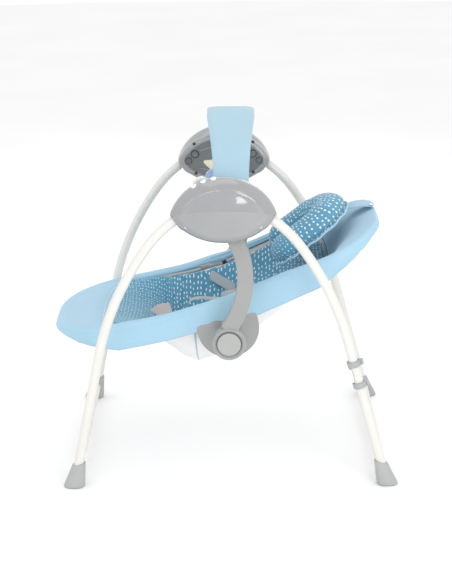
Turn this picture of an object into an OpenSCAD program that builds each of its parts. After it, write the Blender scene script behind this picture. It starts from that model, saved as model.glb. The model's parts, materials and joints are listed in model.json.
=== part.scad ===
/* [Hub] */
// Height of the swing pivot above the floor
hub_z = 650; // [620:680]
// Place of the swing pivot along the frame
hub_x = 7; // [0:12]
// Radius of the upper edge of the hub outline
hub_top_r = 119; // [116:124]
// Radius of the lower edge of the hub outline
hub_low_r = 146; // [140:155]
// Radius of the domed outer face
dome_r = 220; // [200:260]
// Distance from the middle to the crown of the dome
dome_y = 335; // [332:342]
// Distance from the middle to the inner face of a hub
hub_in_y = 247; // [245:249]
// Wall thickness of the hub shells
hub_wall = 2.5; // [2:0.5:3]

/* [Frame] */
// Distance from the middle to the plane of each pair of legs
leg_y = 285; // [284:287]
// Radius of a leg tube
leg_r = 11; // [9:11]
// Distance from the swing pivot to a leg pin, along the frame
pin_x = 88; // [86:90]
// Drop from the swing pivot to a leg pin
pin_drop = 7; // [4:10]
// Slope of a leg where it leaves the hub
leg_slope = 37.4; // [36:39]
// Turn of the lower bend of a front leg
front_turn = 24.5; // [22:26]
// Turn of the lower bend of a rear leg
rear_turn = 20.9; // [19:22]
// Radius of a crossbar tube
bar_r = 10; // [8:10]
// Height of a crossbar above the floor
bar_z = 33; // [30:36]

/* [Arms] */
// Radius of the arm's curved centreline
arm_bend_r = 200; // [196:204]
// Width of an arm
arm_w = 36; // [30:38]
// Inner face of an arm
arm_in_y = 258; // [257:260]
// Outer face of an arm
arm_out_y = 282; // [280:283]
// Height of the recline pivot above the floor
seat_z = 340; // [335:345]
// Offset of the recline pivot from the swing pivot
seat_dx = 10; // [5:14]
// Radius of the ring at the foot of an arm
ring_r = 38; // [36:40]
// Radius of a recline button
cap_r = 27; // [24:30]

/* [Seat] */
// Height of the seat tubes at the hip
hip_z = 396; // [392:400]
// Half of the distance between the side tubes
seat_half_w = 190; // [188:191]
// Radius of a seat tube
tube_r = 9; // [7:9]
// Corner radius of the seat tubes
corner_r = 150; // [120:170]
// Length of the leg part along its slope
leg_reach = 397; // [380:400]
// Length of the back part along its slope
back_reach = 386; // [370:390]
// Slope of the leg part
leg_tilt = 11; // [9:13]
// Slope of the back part
back_tilt = 24.5; // [22:27]
// Depth of the seat well below the tubes
well = 158; // [140:160]
// Place of the deepest point of the seat, along it from the hip
well_x = -50; // [-60:-40]
// Thickness of the padded liner
pad = 20; // [12:22]
// Depth of the skirt below the tubes
skirt = 52; // [46:54]
// Radius of the ring of the head pillow
pillow_r = 82; // [76:86]
// Thickness radius of the head pillow
pillow_fat = 33; // [28:34]

/* [Toy bar] */
// Height of the top of the toy bar
bar_top = 822; // [800:840]
// Radius of the toy bar's arch
arch_r = 290; // [285:300]
// Width of the toy bar's sleeve at the top
sleeve_w = 108; // [90:112]
// Width of the sleeve at its ends
sleeve_end_w = 76; // [70:80]

/* [Hidden] */
$fn = 64;

// Hub outline: two arcs that meet at the tips, which a third arc blunts.
top_cz = 726 - hub_top_r - 650;
low_cz = 725 - 650;
tip_r = 113;
seam_r = 442;
seam_top = 10;
panel_inset = 6;
split_y = 262;
// Leg path: a straight root, two bends and a straight shank down to the foot.
root_len = 35;
knee_r = 270;
knee_turn = 16.5;
shin_r = 668;
leg_end_z = 22;
tube_wall = 1.5;
leg_tube_wall = 3; // heavier, so that the empty seat hangs level
// Arm path: one arc from the head to the ring, with its centre on the leg side.
arm_cx = -152.6;
arm_cz = 491 - 650;
shaft_r = 6;
run = 0.05;
recline_r = 8;
// Toy bar: the arch's ends turn on studs in the inner covers.
bar_dx = 18;
bar_pivot_z = 672;
stud_r = 5;
// Hook: the sleeve of the seat cover, which wraps the tubes and their sockets.
hook_in = 14;
hook_out = 16.5;
socket_r = 12;

function polar(r, a) = [r * cos(a), r * sin(a)];

// Extrudes an outline drawn in the X-Z plane from one Y to another.
module slab(y0, y1) {
    translate([0, y1, 0]) rotate([90, 0, 0]) linear_extrude(y1 - y0) children();
}

// Draws a piece made for the right side on the left or right side.
module on_side(s) {
    if (s < 0) mirror([0, 1, 0]) children();
    else children();
}

// Puts the middle of the hub at the origin of a piece's own outline.
module at_hub() {
    translate([hub_x, 0, hub_z]) children();
}

module rod(x, z, r, y0, y1) {
    translate([x, y0, z]) rotate([-90, 0, 0]) cylinder(r = r, h = y1 - y0);
}

// ---- Hub shells ----

module hub_outline(inset) {
    intersection() {
        translate([0, top_cz]) circle(r = hub_top_r - inset, $fn = 128);
        translate([0, low_cz]) circle(r = hub_low_r - inset, $fn = 128);
        translate([0, -10]) circle(r = tip_r - inset, $fn = 128);
    }
}

module hub_blank(inset, y0) {
    intersection() {
        slab(y0, dome_y + 5) hub_outline(inset);
        translate([0, dome_y - dome_r, 0]) sphere(r = dome_r - inset, $fn = 128);
    }
}

// The lower panel's outline, which the seam bounds above.
module panel_outline(gap) {
    intersection() {
        hub_outline(panel_inset + gap);
        translate([0, seam_top - seam_r]) circle(r = seam_r - gap, $fn = 128);
    }
}

// The room that a leg needs as it folds, from its pin to the hub's edge.
module leg_window() {
    for (m = [0, 1]) mirror([m, 0, 0])
        slab(split_y - 1, 299)
            polygon([[62, 6], [pin_x, 9], [98, 2], [130, -22], [125, -46], [106, -64], [62, -50]]);
}

// The room that the arm needs as it swings through the hub's lower edge.
module arm_window(y0) {
    slab(y0, 286) polygon([[-12, -40], [68, -40], [78, -80], [-14, -80]]);
}

module panel_screw_places() {
    for (x = [-79, 79]) translate([x, 0, -28]) children();
}

module hub_cover(s) {
    color("darkgray") on_side(s) at_hub() difference() {
        hub_blank(0, split_y);
        hub_blank(hub_wall, split_y - 1);
        slab(300, dome_y + 5) panel_outline(0);
        leg_window();
        arm_window(split_y - 1);
        if (s < 0) {
            for (a = button_angles) radial_rod(a, button_r + 0.4, 90, 130, button_y);
            rod(dial_x, dial_dz, dial_r + 1.5, split_y - 1, dial_y1 + 1);
        }
    }
}

module hub_panel(s) {
    color("silver") on_side(s) at_hub() difference() {
        hub_blank(0, 300);
        hub_blank(hub_wall, 299);
        difference() {
            slab(290, dome_y + 6) square(400, center = true);
            slab(289, dome_y + 7) panel_outline(0.4);
        }
        panel_screw_places() rod(0, 0, 3.5, 295, dome_y);
    }
}

module panel_screws() {
    color("dimgray") for (s = [-1, 1]) on_side(s) at_hub() panel_screw_places() {
        rod(0, 0, 3.3, 315.5, 318.5);
        rod(0, 0, 1.6, 300, 315.5);
    }
}

module inner_cover(s) {
    color("gray") on_side(s) at_hub() difference() {
        union() {
            difference() {
                slab(hub_in_y, split_y) hub_outline(0);
                slab(hub_in_y + 3, split_y + 1) hub_outline(hub_wall);
            }
            rod(0, 0, 12, hub_in_y, 257);
            for (x = [-pin_x, pin_x]) rod(x, -pin_drop, 9, hub_in_y, 273);
            if (s < 0) rod(dial_x, dial_dz, dial_bore - run, hub_in_y, dial_y1 + 1);
        }
        rod(0, 0, shaft_r, hub_in_y - 1, 258);
        for (x = [-pin_x, pin_x]) rod(x, -pin_drop, 5, hub_in_y - 1, 274);
        for (x = [-fold_x, fold_x]) rod(x, fold_dz, fold_r + 0.4, hub_in_y - 1, 255);
        for (p = cover_screws) rod(p[0], p[1], 3, hub_in_y - 1, hub_in_y + 4);
        rod(bar_dx, bar_pivot_z - hub_z, stud_r + run, hub_in_y - 1, hub_in_y + 4);
        arm_window(256);
    }
}

fold_x = 72;
fold_dz = 10;
fold_r = 8;
cover_screws = [[-74, 36], [73, 40], [-70, -39], [73, -37]];

module leg_pins() {
    color("lightgray") for (s = [-1, 1]) on_side(s) at_hub() for (x = [-pin_x, pin_x]) {
        rod(x, -pin_drop, 5, hub_in_y, 301);
        difference() {
            rod(x, -pin_drop, 7, hub_in_y - 2, hub_in_y);
            rod(x, -pin_drop, 3, hub_in_y - 3, hub_in_y - 1);
        }
    }
}

module pivot_shafts() {
    color("silver") for (s = [-1, 1]) on_side(s) at_hub() {
        rod(0, 0, shaft_r, hub_in_y + 1, arm_out_y + 0.5);
        rod(0, 0, shaft_r + 4, arm_out_y + 0.5, arm_out_y + 3);
    }
}

module fold_button(x, s) {
    color("dimgray") on_side(s) at_hub() {
        rod(x, fold_dz, fold_r, hub_in_y - 4, 256);
        rod(x, fold_dz, fold_r - 3, 256, 262);
    }
}

// ---- Electric parts, in the left hub ----

cell_r = 13;
cell_len = 50;
cell_y = 303.5;
cell_rows = [-10, -38];

module battery_tray() {
    color("black") mirror([0, 1, 0]) at_hub()
        translate([-53, 286.5, -52]) cube([106, 2.5, 56]);
}

module battery_cells() {
    color("gold") mirror([0, 1, 0]) at_hub() for (x = [-cell_len - 1, 1]) for (z = cell_rows)
        translate([x, cell_y, z]) rotate([0, 90, 0]) cylinder(r = cell_r, h = cell_len);
}

module control_board() {
    color("green") mirror([0, 1, 0]) at_hub()
        translate([-46, 290, 28]) cube([92, 1.6, 20]);
}

module drive_coil() {
    color("chocolate") mirror([0, 1, 0]) at_hub() difference() {
        rod(16, -46, 15, hub_in_y + 3, 257);
        rod(16, -46, 5, hub_in_y + 2, 258);
    }
}

dial_x = -46;
dial_dz = 53;
dial_r = 20;
dial_bore = 4;
dial_y0 = 264;
dial_y1 = 281;
button_angles = [122, 111, 100];
button_r = 6.5;
button_y = 297;

module radial_rod(a, r, r0, r1, y) {
    translate([0, y, top_cz]) rotate([0, 90 - a, 0]) translate([0, 0, r0])
        cylinder(r = r, h = r1 - r0);
}

module speed_dial() {
    color("lightsteelblue") mirror([0, 1, 0]) at_hub() difference() {
        rod(dial_x, dial_dz, dial_r, dial_y0, dial_y1);
        rod(dial_x, dial_dz, dial_bore, dial_y0 - 1, dial_y1 + 1);
    }
}

module mode_button(i) {
    color("white") mirror([0, 1, 0]) at_hub()
        radial_rod(button_angles[i], button_r, hub_top_r - 10, hub_top_r + 2.5, button_y);
}

// ---- Legs ----

// Each leg is drawn in its own plane: x away from the hub, y up, from the pin at the origin.
knee_start = polar(root_len, -leg_slope);
knee_centre = knee_start + polar(knee_r, -leg_slope - 90);
shin_start = knee_centre + polar(knee_r, 90 - leg_slope - knee_turn);
shin_centre = shin_start + polar(shin_r, -leg_slope - knee_turn - 90);
function shank_slope(turn) = leg_slope + knee_turn + turn;
function shank_start(turn) = shin_centre + polar(shin_r, 90 - shank_slope(turn));
// Point on a leg's shank at a height above the floor
function shank_at(turn, z) =
    let (p = shank_start(turn), h = hub_z - pin_drop)
    [p[0] + (p[1] + h - z) / tan(shank_slope(turn)), z - h];
function shank_len(turn) = norm(shank_at(turn, leg_end_z) - shank_start(turn));

// A round bar in the X-Y plane through rings of [x, y, slope down, radius].
module sweep(rings, sides) {
    n = len(rings);
    points = [for (k = rings) for (i = [0:sides - 1]) let (a = 360 * i / sides)
        [k[0] + k[3] * cos(a) * sin(k[2]), k[1] + k[3] * cos(a) * cos(k[2]), k[3] * sin(a)]];
    faces = concat(
        [[for (i = [0:sides - 1]) i]],
        [for (k = [0:n - 2]) for (i = [0:sides - 1]) let (a = k * sides, j = (i + 1) % sides)
            each [[a + i, a + sides + i, a + sides + j], [a + i, a + sides + j, a + j]]],
        [[for (i = [sides - 1:-1:0]) (n - 1) * sides + i]]);
    polyhedron(points, faces);
}

// Rings along a bend, from one slope to another.
function bend_rings(centre, r, from, to, steps, bar) = [for (i = [0:steps])
    let (a = from + (to - from) * i / steps, p = centre + polar(r, 90 - a)) [p[0], p[1], a, bar]];

// Rings down a leg, for its outside or for its hollow, to a height above the floor.
function leg_rings(turn, bar, z) = concat(
    bend_rings(knee_centre, knee_r, leg_slope, leg_slope + knee_turn, 6, bar),
    bend_rings(shin_centre, shin_r, leg_slope + knee_turn + 2, shank_slope(turn), 8, bar),
    [concat(shank_at(turn, z), [shank_slope(turn), bar])]);

module straight(from, slope, len, r) {
    translate(from) rotate([0, 0, -slope]) rotate([0, 90, 0]) cylinder(r = r, h = len, $fn = 32);
}

// Stands a piece drawn in a leg's plane in its place.
module in_leg_plane(end, s) {
    on_side(s) translate([hub_x + end * pin_x, leg_y, hub_z - pin_drop])
        rotate([90, 0, 0]) if (end < 0) mirror([1, 0, 0]) children(); else children();
}

module leg(end, s, turn) {
    color("ivory") in_leg_plane(end, s) difference() {
        union() {
            translate([0, 0, -leg_r]) cylinder(r = 13, h = 2 * leg_r);
            sweep(concat([[0, 0, leg_slope, leg_r]], leg_rings(turn, leg_r, leg_end_z)), 24);
        }
        sweep(leg_rings(turn, leg_r - tube_wall, leg_end_z - 2), 20);
        translate([0, 0, -leg_r - 1]) cylinder(r = 5 + run, h = 2 * leg_r + 2);
    }
}

module crossbar(end, turn) {
    x = hub_x + end * (pin_x + shank_at(turn, bar_z)[0]);
    color("ivory") difference() {
        rod(x, bar_z, bar_r, -272.5, 272.5);
        rod(x, bar_z, bar_r - tube_wall, -273, 273);
    }
}

// A boot with an upright inner side, a socket for the leg and a boss for the crossbar.
module foot(end, s, turn) {
    top = shank_at(turn, 56);
    drop = hub_z - pin_drop;
    foot_x = shank_at(turn, 0)[0];
    bar = shank_at(turn, bar_z);
    color("lightgray") in_leg_plane(end, s) difference() {
        union() {
            hull() {
                for (x = [-6, 8]) translate([foot_x + x, -drop, 0]) rotate([-90, 0, 0])
                    cylinder(r = 19, h = 5, $fn = 40);
                translate([top[0], top[1] - 6, 0]) rotate([-90, 0, 0])
                    cylinder(r = 15, h = 6, $fn = 40);
            }
            translate([bar[0], bar[1], 0]) cylinder(r = bar_r + 3, h = 36);
        }
        straight(shank_at(turn, leg_end_z), shank_slope(turn) + 180, 80, leg_r + run);
        translate([bar[0], bar[1], leg_y - 272.5]) cylinder(r = bar_r, h = 60);
    }
}

clip_heights = [300, 250];

// Two rings round the leg, each with an ear on the outer side.
module leg_clip() {
    color("lightgray") in_leg_plane(1, -1) for (z = clip_heights) at_shin(z) {
        difference() {
            rotate([0, 90, 0]) cylinder(r = leg_r + 4.4, h = 13);
            translate([-3, 0, 0]) rotate([0, 90, 0]) cylinder(r = leg_r + 1.2, h = 19);
        }
        translate([0, leg_r + 7, 0]) rotate([0, 90, 0]) cylinder(r = 4, h = 13);
    }
}

// Stands a piece on a rear leg's shank at a height above the floor, with x down the leg.
module at_shin(z) {
    translate(shank_at(rear_turn, z)) rotate([0, 0, -shank_slope(rear_turn)]) children();
}

module leg_label() {
    color("white") in_leg_plane(1, -1) at_shin(284) difference() {
        translate([0, -leg_r - 3, -9]) cube([32, 5, 18]);
        translate([-1, 0, 0]) rotate([0, 90, 0]) cylinder(r = leg_r + 0.8, h = 40, $fn = 32);
    }
}

// ---- Arms ----

module arm_outline() {
    intersection() {
        translate([arm_cx, arm_cz]) difference() {
            circle(r = arm_bend_r + arm_w / 2, $fn = 192);
            circle(r = arm_bend_r - arm_w / 2, $fn = 192);
        }
        translate([arm_cx, arm_cz]) polygon([[0, 0], polar(300, -37), [300, 0], polar(300, 48)]);
    }
    circle(r = 30);
    translate([seat_dx, seat_z - hub_z]) circle(r = ring_r);
}

module arm(s) {
    color("darkgray") on_side(s) at_hub() difference() {
        slab(arm_in_y, arm_out_y) arm_outline();
        rod(0, 0, 10, arm_in_y - 1, arm_out_y + 1);
        rod(seat_dx, seat_z - hub_z, recline_r, arm_in_y - 1, arm_out_y + 1);
        rod(seat_dx, seat_z - hub_z, cap_r + 0.4, 273, arm_out_y + 1);
        if (s < 0) rod(16, -46, 9, arm_in_y - 1, arm_in_y + 4);
    }
}

module pivot_bushes() {
    color("white") for (s = [-1, 1]) on_side(s) at_hub() difference() {
        rod(0, 0, 10, arm_in_y, arm_out_y);
        rod(0, 0, shaft_r + run, arm_in_y - 1, arm_out_y + 1);
    }
}

module drive_magnet() {
    color("silver") mirror([0, 1, 0]) at_hub() rod(16, -46, 9, arm_in_y + 0.5, arm_in_y + 4);
}

module recline_shafts() {
    color("silver") for (s = [-1, 1]) on_side(s) at_hub()
        rod(seat_dx, seat_z - hub_z, recline_r, 183, 273);
}

module recline_button(s) {
    color("gainsboro") on_side(s) at_hub() rod(seat_dx, seat_z - hub_z, cap_r, 278, 287);
}

// ---- Seat frame ----

pivot_x = hub_x + seat_dx;

// Stands a piece drawn in the plane of the leg part (end -1) or the back part (end 1).
module in_seat_plane(end) {
    translate([hub_x, 0, hip_z]) rotate([0, end < 0 ? 180 - leg_tilt : -back_tilt, 0])
        if (end < 0) mirror([0, 0, 1]) children(); else children();
}

module seat_bracket(s) {
    color("darkgray") on_side(s) difference() {
        union() {
            slab(socket_in, socket_out) translate([hub_x + 8, 352]) intersection() {
                circle(r = 71, $fn = 96);
                rotate(18) translate([-100, -120]) square([200, 160]);
            }
            rod(pivot_x, seat_z, 16, socket_out, 257.5);
            for (end = [-1, 1]) in_seat_plane(end) translate([6, seat_half_w, 0])
                rotate([0, 90, 0]) cylinder(r = socket_r, h = 56);
        }
        rod(pivot_x, seat_z, recline_r + run, 182, 258);
        for (end = [-1, 1]) in_seat_plane(end) translate([tube_start, seat_half_w, 0])
            rotate([0, 90, 0]) cylinder(r = tube_r, h = 200);
    }
}

socket_in = seat_half_w - socket_r;
socket_out = seat_half_w + socket_r;
tube_start = 14;

module seat_tube_bar(reach, r, start) {
    cross_len = 2 * (seat_half_w - corner_r);
    for (s = [-1, 1]) {
        translate([start, s * seat_half_w, 0]) rotate([0, 90, 0])
            cylinder(r = r, h = reach - corner_r - start, $fn = 32);
        translate([reach - corner_r, s * (seat_half_w - corner_r), 0])
            rotate([0, 0, s < 0 ? -90 : 0]) rotate_extrude(angle = 90, $fn = 96)
                translate([corner_r, 0]) circle(r = r, $fn = 32);
    }
    translate([reach, -cross_len / 2, 0]) rotate([-90, 0, 0])
        cylinder(r = r, h = cross_len, $fn = 32);
}

module seat_tube(end, reach, wall) {
    color("lightgray") in_seat_plane(end) difference() {
        seat_tube_bar(reach, tube_r, tube_start);
        seat_tube_bar(reach, tube_r - wall, tube_start - 1);
    }
}

// ---- Seat fabric ----

// Stations round the seat, each [distance from the hip, across, outward angle, end].
function end_stations(end, reach) = let (r = corner_r, w = seat_half_w - corner_r) concat(
    [for (i = [0:4]) [(reach - r) * i / 5, -end * seat_half_w, -end * 90, end]],
    [for (i = [0:12]) let (a = -90 + 7.5 * i)
        [reach - r + r * cos(a), end * (r * sin(a) - w), end * a, end]],
    [for (i = [0:12]) let (a = 7.5 * i)
        [reach - r + r * cos(a), end * (r * sin(a) + w), end * a, end]],
    [for (i = [5:-1:1]) [(reach - r) * i / 5, end * seat_half_w, end * 90, end]]);
stations = concat(end_stations(1, back_reach), end_stations(-1, leg_reach));

// Depth of the sling below the tubes, at a distance along the seat and across it
function sag(x, y) = let (
    t = (x - well_x) / (x < well_x ? -leg_reach - well_x : back_reach - well_x),
    along = x < well_x ? pow(cos(90 * min(t, 1)), 3.5) : 1 - pow(min(t, 1), 1.3))
    well * along * (1 - pow(min(abs(y) / seat_half_w, 1), 2.6));

// How far the padded well stops short of the leg end, as a share of the way out
function deck(s) = s[3] < 0 ? 0.24 * cos(s[2]) : 0;

// A point at share f of the way out, moved out by o and up by h
function seat_point(s, f, o, h) = let (
    u = s[0] * f + o * cos(s[2]),
    tilt = s[3] < 0 ? -leg_tilt : back_tilt)
    [hub_x + s[3] * u * cos(tilt), s[1] * f + o * sin(s[2]),
     hip_z + u * sin(tilt) + h - sag(s[3] * s[0] * f, s[1] * f) * (1 - pow(min(f, 1), 20))];

// Closed solid that carries a profile of [f, o, h] points round every station.
// Points short of the tubes move in over the leg end, where the cover is a deck.
module round_seat(profile) {
    n = len(stations);
    m = len(profile);
    points = [for (s = stations) for (p = profile) 
        seat_point(s, p[0] - (p[0] < 1 ? deck(s) : 0), p[1], p[2])];
    faces = [for (i = [0:n - 1]) for (j = [0:m - 1])
        let (a = i * m + j, b = i * m + (j + 1) % m,
             c = ((i + 1) % n) * m + (j + 1) % m, d = ((i + 1) % n) * m + j)
        each [[a, c, b], [a, d, c]]];
    polyhedron(points, faces);
}

// Closed sheet from the middle of the seat out to share f1, with a rounded edge.
module seat_sheet(f1, decked, low, high) {
    n = len(stations);
    rings = 9;
    function share(s, i) = (f1 - decked * deck(s)) * i / rings;
    top = [for (i = [1:rings]) for (s = stations) seat_point(s, share(s, i), 0, high)];
    base = [for (i = [1:rings]) for (s = stations) seat_point(s, share(s, i), 0, low)];
    centre = [seat_point(stations[0], 0, 0, high), seat_point(stations[0], 0, 0, low)];
    t = rings * n;
    last = (rings - 1) * n;
    faces = concat(
        [for (i = [0:n - 1]) [2 * t, (i + 1) % n, i]],
        [for (k = [0:rings - 2]) for (i = [0:n - 1]) let (a = k * n, j = (i + 1) % n)
            each [[a + i, a + j, a + n + j], [a + i, a + n + j, a + n + i]]],
        [for (i = [0:n - 1]) [2 * t + 1, t + i, t + (i + 1) % n]],
        [for (k = [0:rings - 2]) for (i = [0:n - 1]) let (a = t + k * n, j = (i + 1) % n)
            each [[a + i, a + n + j, a + j], [a + i, a + n + i, a + n + j]]],
        [for (i = [0:n - 1]) let (j = (i + 1) % n)
            each [[last + i, last + j, t + last + j], [last + i, t + last + j, t + last + i]]]);
    polyhedron(concat(top, base, centre), faces);
}

function arc_points(r, from, to, steps) =
    [for (i = [0:steps]) let (a = from + (to - from) * i / steps) [1, r * cos(a), r * sin(a)]];

module seat_cover() {
    color("lightblue") difference() {
        round_seat(concat(
            [[0.89, 0, 5], [0.94, 0, 5]],
            arc_points(hook_in, 190, 0, 9),
            [[1, hook_in, -skirt], [1, hook_out, -skirt]],
            arc_points(hook_out, 0, 190, 9),
            [[0.94, 0, 8], [0.89, 0, 8]]));
        for (s = [-1, 1]) on_side(s) translate([pivot_x, 200, hip_z - skirt - 44])
            rotate([-90, 0, 0]) cylinder(r = 62, h = 20);
    }
}

module seat_sling() {
    color("white") seat_sheet(0.93, 0, 0, 3);
}

module seat_liner() {
    color("steelblue") seat_sheet(0.87, 1, 5, 4 + pad);
}

// Stands a piece on the head end of the seat, in the plane of the head pillow.
module on_head() {
    translate([hub_x + 196, 0, 546]) rotate([0, -31, 0]) children();
}

// A horseshoe whose ends taper to a round, on a thin base pad.
module head_pillow() {
    color("steelblue") on_head() {
        sweep([for (a = [-156:12:156]) let (p = polar(pillow_r, a), t = (abs(a) - 120) / 37)
            [p[0], p[1], -a - 90, pillow_fat * (t > 0 ? sqrt(1 - t * t) : 1)]], 20);
        translate([0, 0, -pillow_fat + 4]) cylinder(r = pillow_r - 14, h = 22);
    }
}

flap_tip_x = hub_x + 360;

module head_flap() {
    color("lightblue") translate([flap_tip_x - 64, 30, 572.5]) rotate([0, -2, 0]) cube([64, 56, 3]);
}

module flap_snap() {
    color("silver") translate([flap_tip_x - 9, 36, 577.8]) cylinder(r = 5, h = 3);
}

web = 2;
web_w = 25;

// A flat piece of webbing between two points in the X-Z plane.
module webbing(p, q, y, w) {
    d = q - p;
    translate([p[0], y - w / 2, p[1]]) rotate([0, -atan2(d[1], d[0]), 0]) cube([norm(d), w, web]);
}

module crotch_strap() {
    color("darkgray") {
        webbing([-66, 250], [-78, 352], 0, web_w);
        webbing([-78, 350], [-66, 368], 0, web_w);
        webbing([-67, 367], [-2, 362], 0, web_w);
    }
}

// The loose halves lie along the sides of the well.
module waist_straps() {
    color("darkgray") for (s = [-1, 1]) on_side(s)
        translate([-18, 158, 366]) rotate([0, 18, 0]) rotate([56, 0, 0])
            translate([0, -web_w / 2, 0]) cube([90, web_w, web]);
}

module buckle() {
    color("gray") translate([0, -19, 360]) rotate([0, -14, 0]) cube([42, 38, 11]);
}

module care_tag() {
    color("linen") translate([-170, 20, 302]) rotate([48, -20, 0]) cube([52, 25, 0.8]);
}

// ---- Toy bar ----

arch_cz = bar_top - arch_r;

module arch_band(w, w_end, r0, r1, y_end) {
    intersection() {
        translate([hub_x + bar_dx, 0, arch_cz]) rotate([0, 90, 0]) rotate([0, 0, 90])
            translate([0, 0, -w]) linear_extrude(2 * w) difference() {
                circle(r = r1, $fn = 192);
                circle(r = r0, $fn = 192);
            }
        translate([hub_x + bar_dx, 0, 600]) linear_extrude(400)
            polygon([[-w / 2, -60], [-w_end / 2, -y_end], [w_end / 2, -y_end], [w / 2, -60],
                [w / 2, 60], [w_end / 2, y_end], [-w_end / 2, y_end], [-w / 2, 60]]);
    }
}

module bar_core() {
    color("gray") arch_band(44, 44, arch_r - 8, arch_r - 5, 238);
}

module bar_sleeve() {
    color("lightblue") difference() {
        arch_band(sleeve_w, sleeve_end_w, arch_r - 13, arch_r, 234);
        arch_band(45, 45, arch_r - 8.3, arch_r - 4.7, 240);
    }
}

bar_end_z = arch_cz + sqrt(pow(arch_r - 8, 2) - pow(238, 2));

// A cap at each end of the bar: a plate beside the hub, and the stud it turns on.
module bar_ends() {
    color("gray") for (s = [-1, 1]) on_side(s) {
        translate([hub_x + bar_dx, 0, 0]) slab(238.5, 244.5)
            polygon([[-24, bar_pivot_z], [24, bar_pivot_z], [24, bar_end_z + 6], [-24, bar_end_z + 6]]);
        rod(hub_x + bar_dx, bar_pivot_z, 24, 238.5, 244.5);
        rod(hub_x + bar_dx, bar_pivot_z, stud_r, 244.5, 251.5);
    }
}

star_x = hub_x - 12;
star_y = 62;
cloud_x = hub_x - 1;
cloud_y = -55;

// Height of a toy's hinge, below the arch at a distance across
function toy_hinge_z(y) = arch_cz + sqrt(pow(arch_r - 13, 2) - y * y) - 8;

// The tabs sewn under the sleeve, each with an eye for a toy.
module toy_tabs() {
    color("lightblue") for (t = [[star_x, star_y], [cloud_x, cloud_y]]) difference() {
        union() {
            rod(t[0], toy_hinge_z(t[1]), 5, t[1] - 1, t[1] + 1);
            translate([t[0] - 5, t[1] - 1, toy_hinge_z(t[1])]) cube([10, 2, 7.5]);
        }
        rod(t[0], toy_hinge_z(t[1]), 2.5, t[1] - 2, t[1] + 2);
    }
}

// A fork of ribbon that hangs a toy on its tab, down to a length below the hinge.
module toy_ribbon(x, y, len) {
    z = toy_hinge_z(y);
    rod(x, z, 2.45, y - 2.8, y + 2.8);
    for (side = [-1, 1]) translate([x - 3, y + side * 2.05 - 0.75, z - len]) cube([6, 1.5, len + 3]);
}

module star_toy() {
    color("antiquewhite") {
        toy_ribbon(star_x, star_y, 90);
        slab_at(star_x, star_y, toy_hinge_z(star_y) - 124)
            polygon([for (i = [0:9]) polar(i % 2 == 0 ? 41 : 21.5, 90 + 36 * i)]);
    }
}

module cloud_toy() {
    color("lightsteelblue") {
        toy_ribbon(cloud_x, cloud_y, 88);
        slab_at(cloud_x, cloud_y, toy_hinge_z(cloud_y) - 117) {
            translate([0, 6]) circle(r = 26);
            for (x = [-24, 24]) translate([x, -6]) circle(r = 18);
        }
    }
}

// A toy's outline, made as thick as a small cushion.
module slab_at(x, y, z) {
    translate([x, 0, z]) slab(y - 10, y + 10) children();
}

hub_cover(-1);  // left_hub_cover
hub_cover(1);  // right_hub_cover
hub_panel(-1);  // battery_door
hub_panel(1);  // trim_panel
inner_cover(-1);  // left_inner_cover
inner_cover(1);  // right_inner_cover
panel_screws();
leg_pins();
pivot_shafts();
battery_tray();
battery_cells();
control_board();
drive_coil();
speed_dial();
mode_button(0);  // power_button
mode_button(1);  // timer_button
mode_button(2);  // music_button
fold_button(-fold_x, -1);  // front_left_fold_button
fold_button(-fold_x, 1);  // front_right_fold_button
fold_button(fold_x, -1);  // rear_left_fold_button
fold_button(fold_x, 1);  // rear_right_fold_button
leg(-1, -1, front_turn);  // front_left_leg
leg(-1, 1, front_turn);  // front_right_leg
leg(1, -1, rear_turn);  // rear_left_leg
leg(1, 1, rear_turn);  // rear_right_leg
crossbar(-1, front_turn);  // front_crossbar
crossbar(1, rear_turn);  // rear_crossbar
foot(-1, -1, front_turn);  // front_left_foot
foot(-1, 1, front_turn);  // front_right_foot
foot(1, -1, rear_turn);  // rear_left_foot
foot(1, 1, rear_turn);  // rear_right_foot
leg_clip();
leg_label();
arm(-1);  // left_arm
arm(1);  // right_arm
pivot_bushes();
recline_shafts();
drive_magnet();
recline_button(-1);  // left_recline_button
recline_button(1);  // right_recline_button
seat_bracket(-1);  // left_seat_bracket
seat_bracket(1);  // right_seat_bracket
seat_tube(1, back_reach, tube_wall);  // back_tube
seat_tube(-1, leg_reach, leg_tube_wall);  // leg_tube
seat_cover();
seat_sling();
seat_liner();
head_pillow();
head_flap();
flap_snap();
crotch_strap();
waist_straps();
buckle();
care_tag();
bar_core();
bar_sleeve();
bar_ends();
toy_tabs();
star_toy();
cloud_toy();
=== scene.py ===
import json
import math

import bpy
from mathutils import Matrix, Vector, noise


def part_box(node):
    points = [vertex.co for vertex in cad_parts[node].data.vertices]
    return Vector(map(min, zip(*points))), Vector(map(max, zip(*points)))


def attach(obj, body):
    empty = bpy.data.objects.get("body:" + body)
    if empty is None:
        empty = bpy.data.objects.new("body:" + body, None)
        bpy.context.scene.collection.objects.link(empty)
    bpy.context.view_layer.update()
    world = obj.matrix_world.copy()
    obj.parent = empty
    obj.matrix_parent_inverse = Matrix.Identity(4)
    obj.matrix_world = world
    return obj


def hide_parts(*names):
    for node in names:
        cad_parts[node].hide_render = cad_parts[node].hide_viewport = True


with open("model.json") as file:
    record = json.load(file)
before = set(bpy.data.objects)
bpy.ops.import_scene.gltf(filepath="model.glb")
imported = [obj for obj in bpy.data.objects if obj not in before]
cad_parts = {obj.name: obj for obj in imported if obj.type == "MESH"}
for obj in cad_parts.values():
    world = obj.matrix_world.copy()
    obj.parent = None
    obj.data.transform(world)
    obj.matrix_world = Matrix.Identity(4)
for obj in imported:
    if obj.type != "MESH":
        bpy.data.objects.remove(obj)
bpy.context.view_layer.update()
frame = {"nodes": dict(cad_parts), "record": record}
nodes = frame["nodes"]
mm = 0.001


# Modelling helpers

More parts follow.
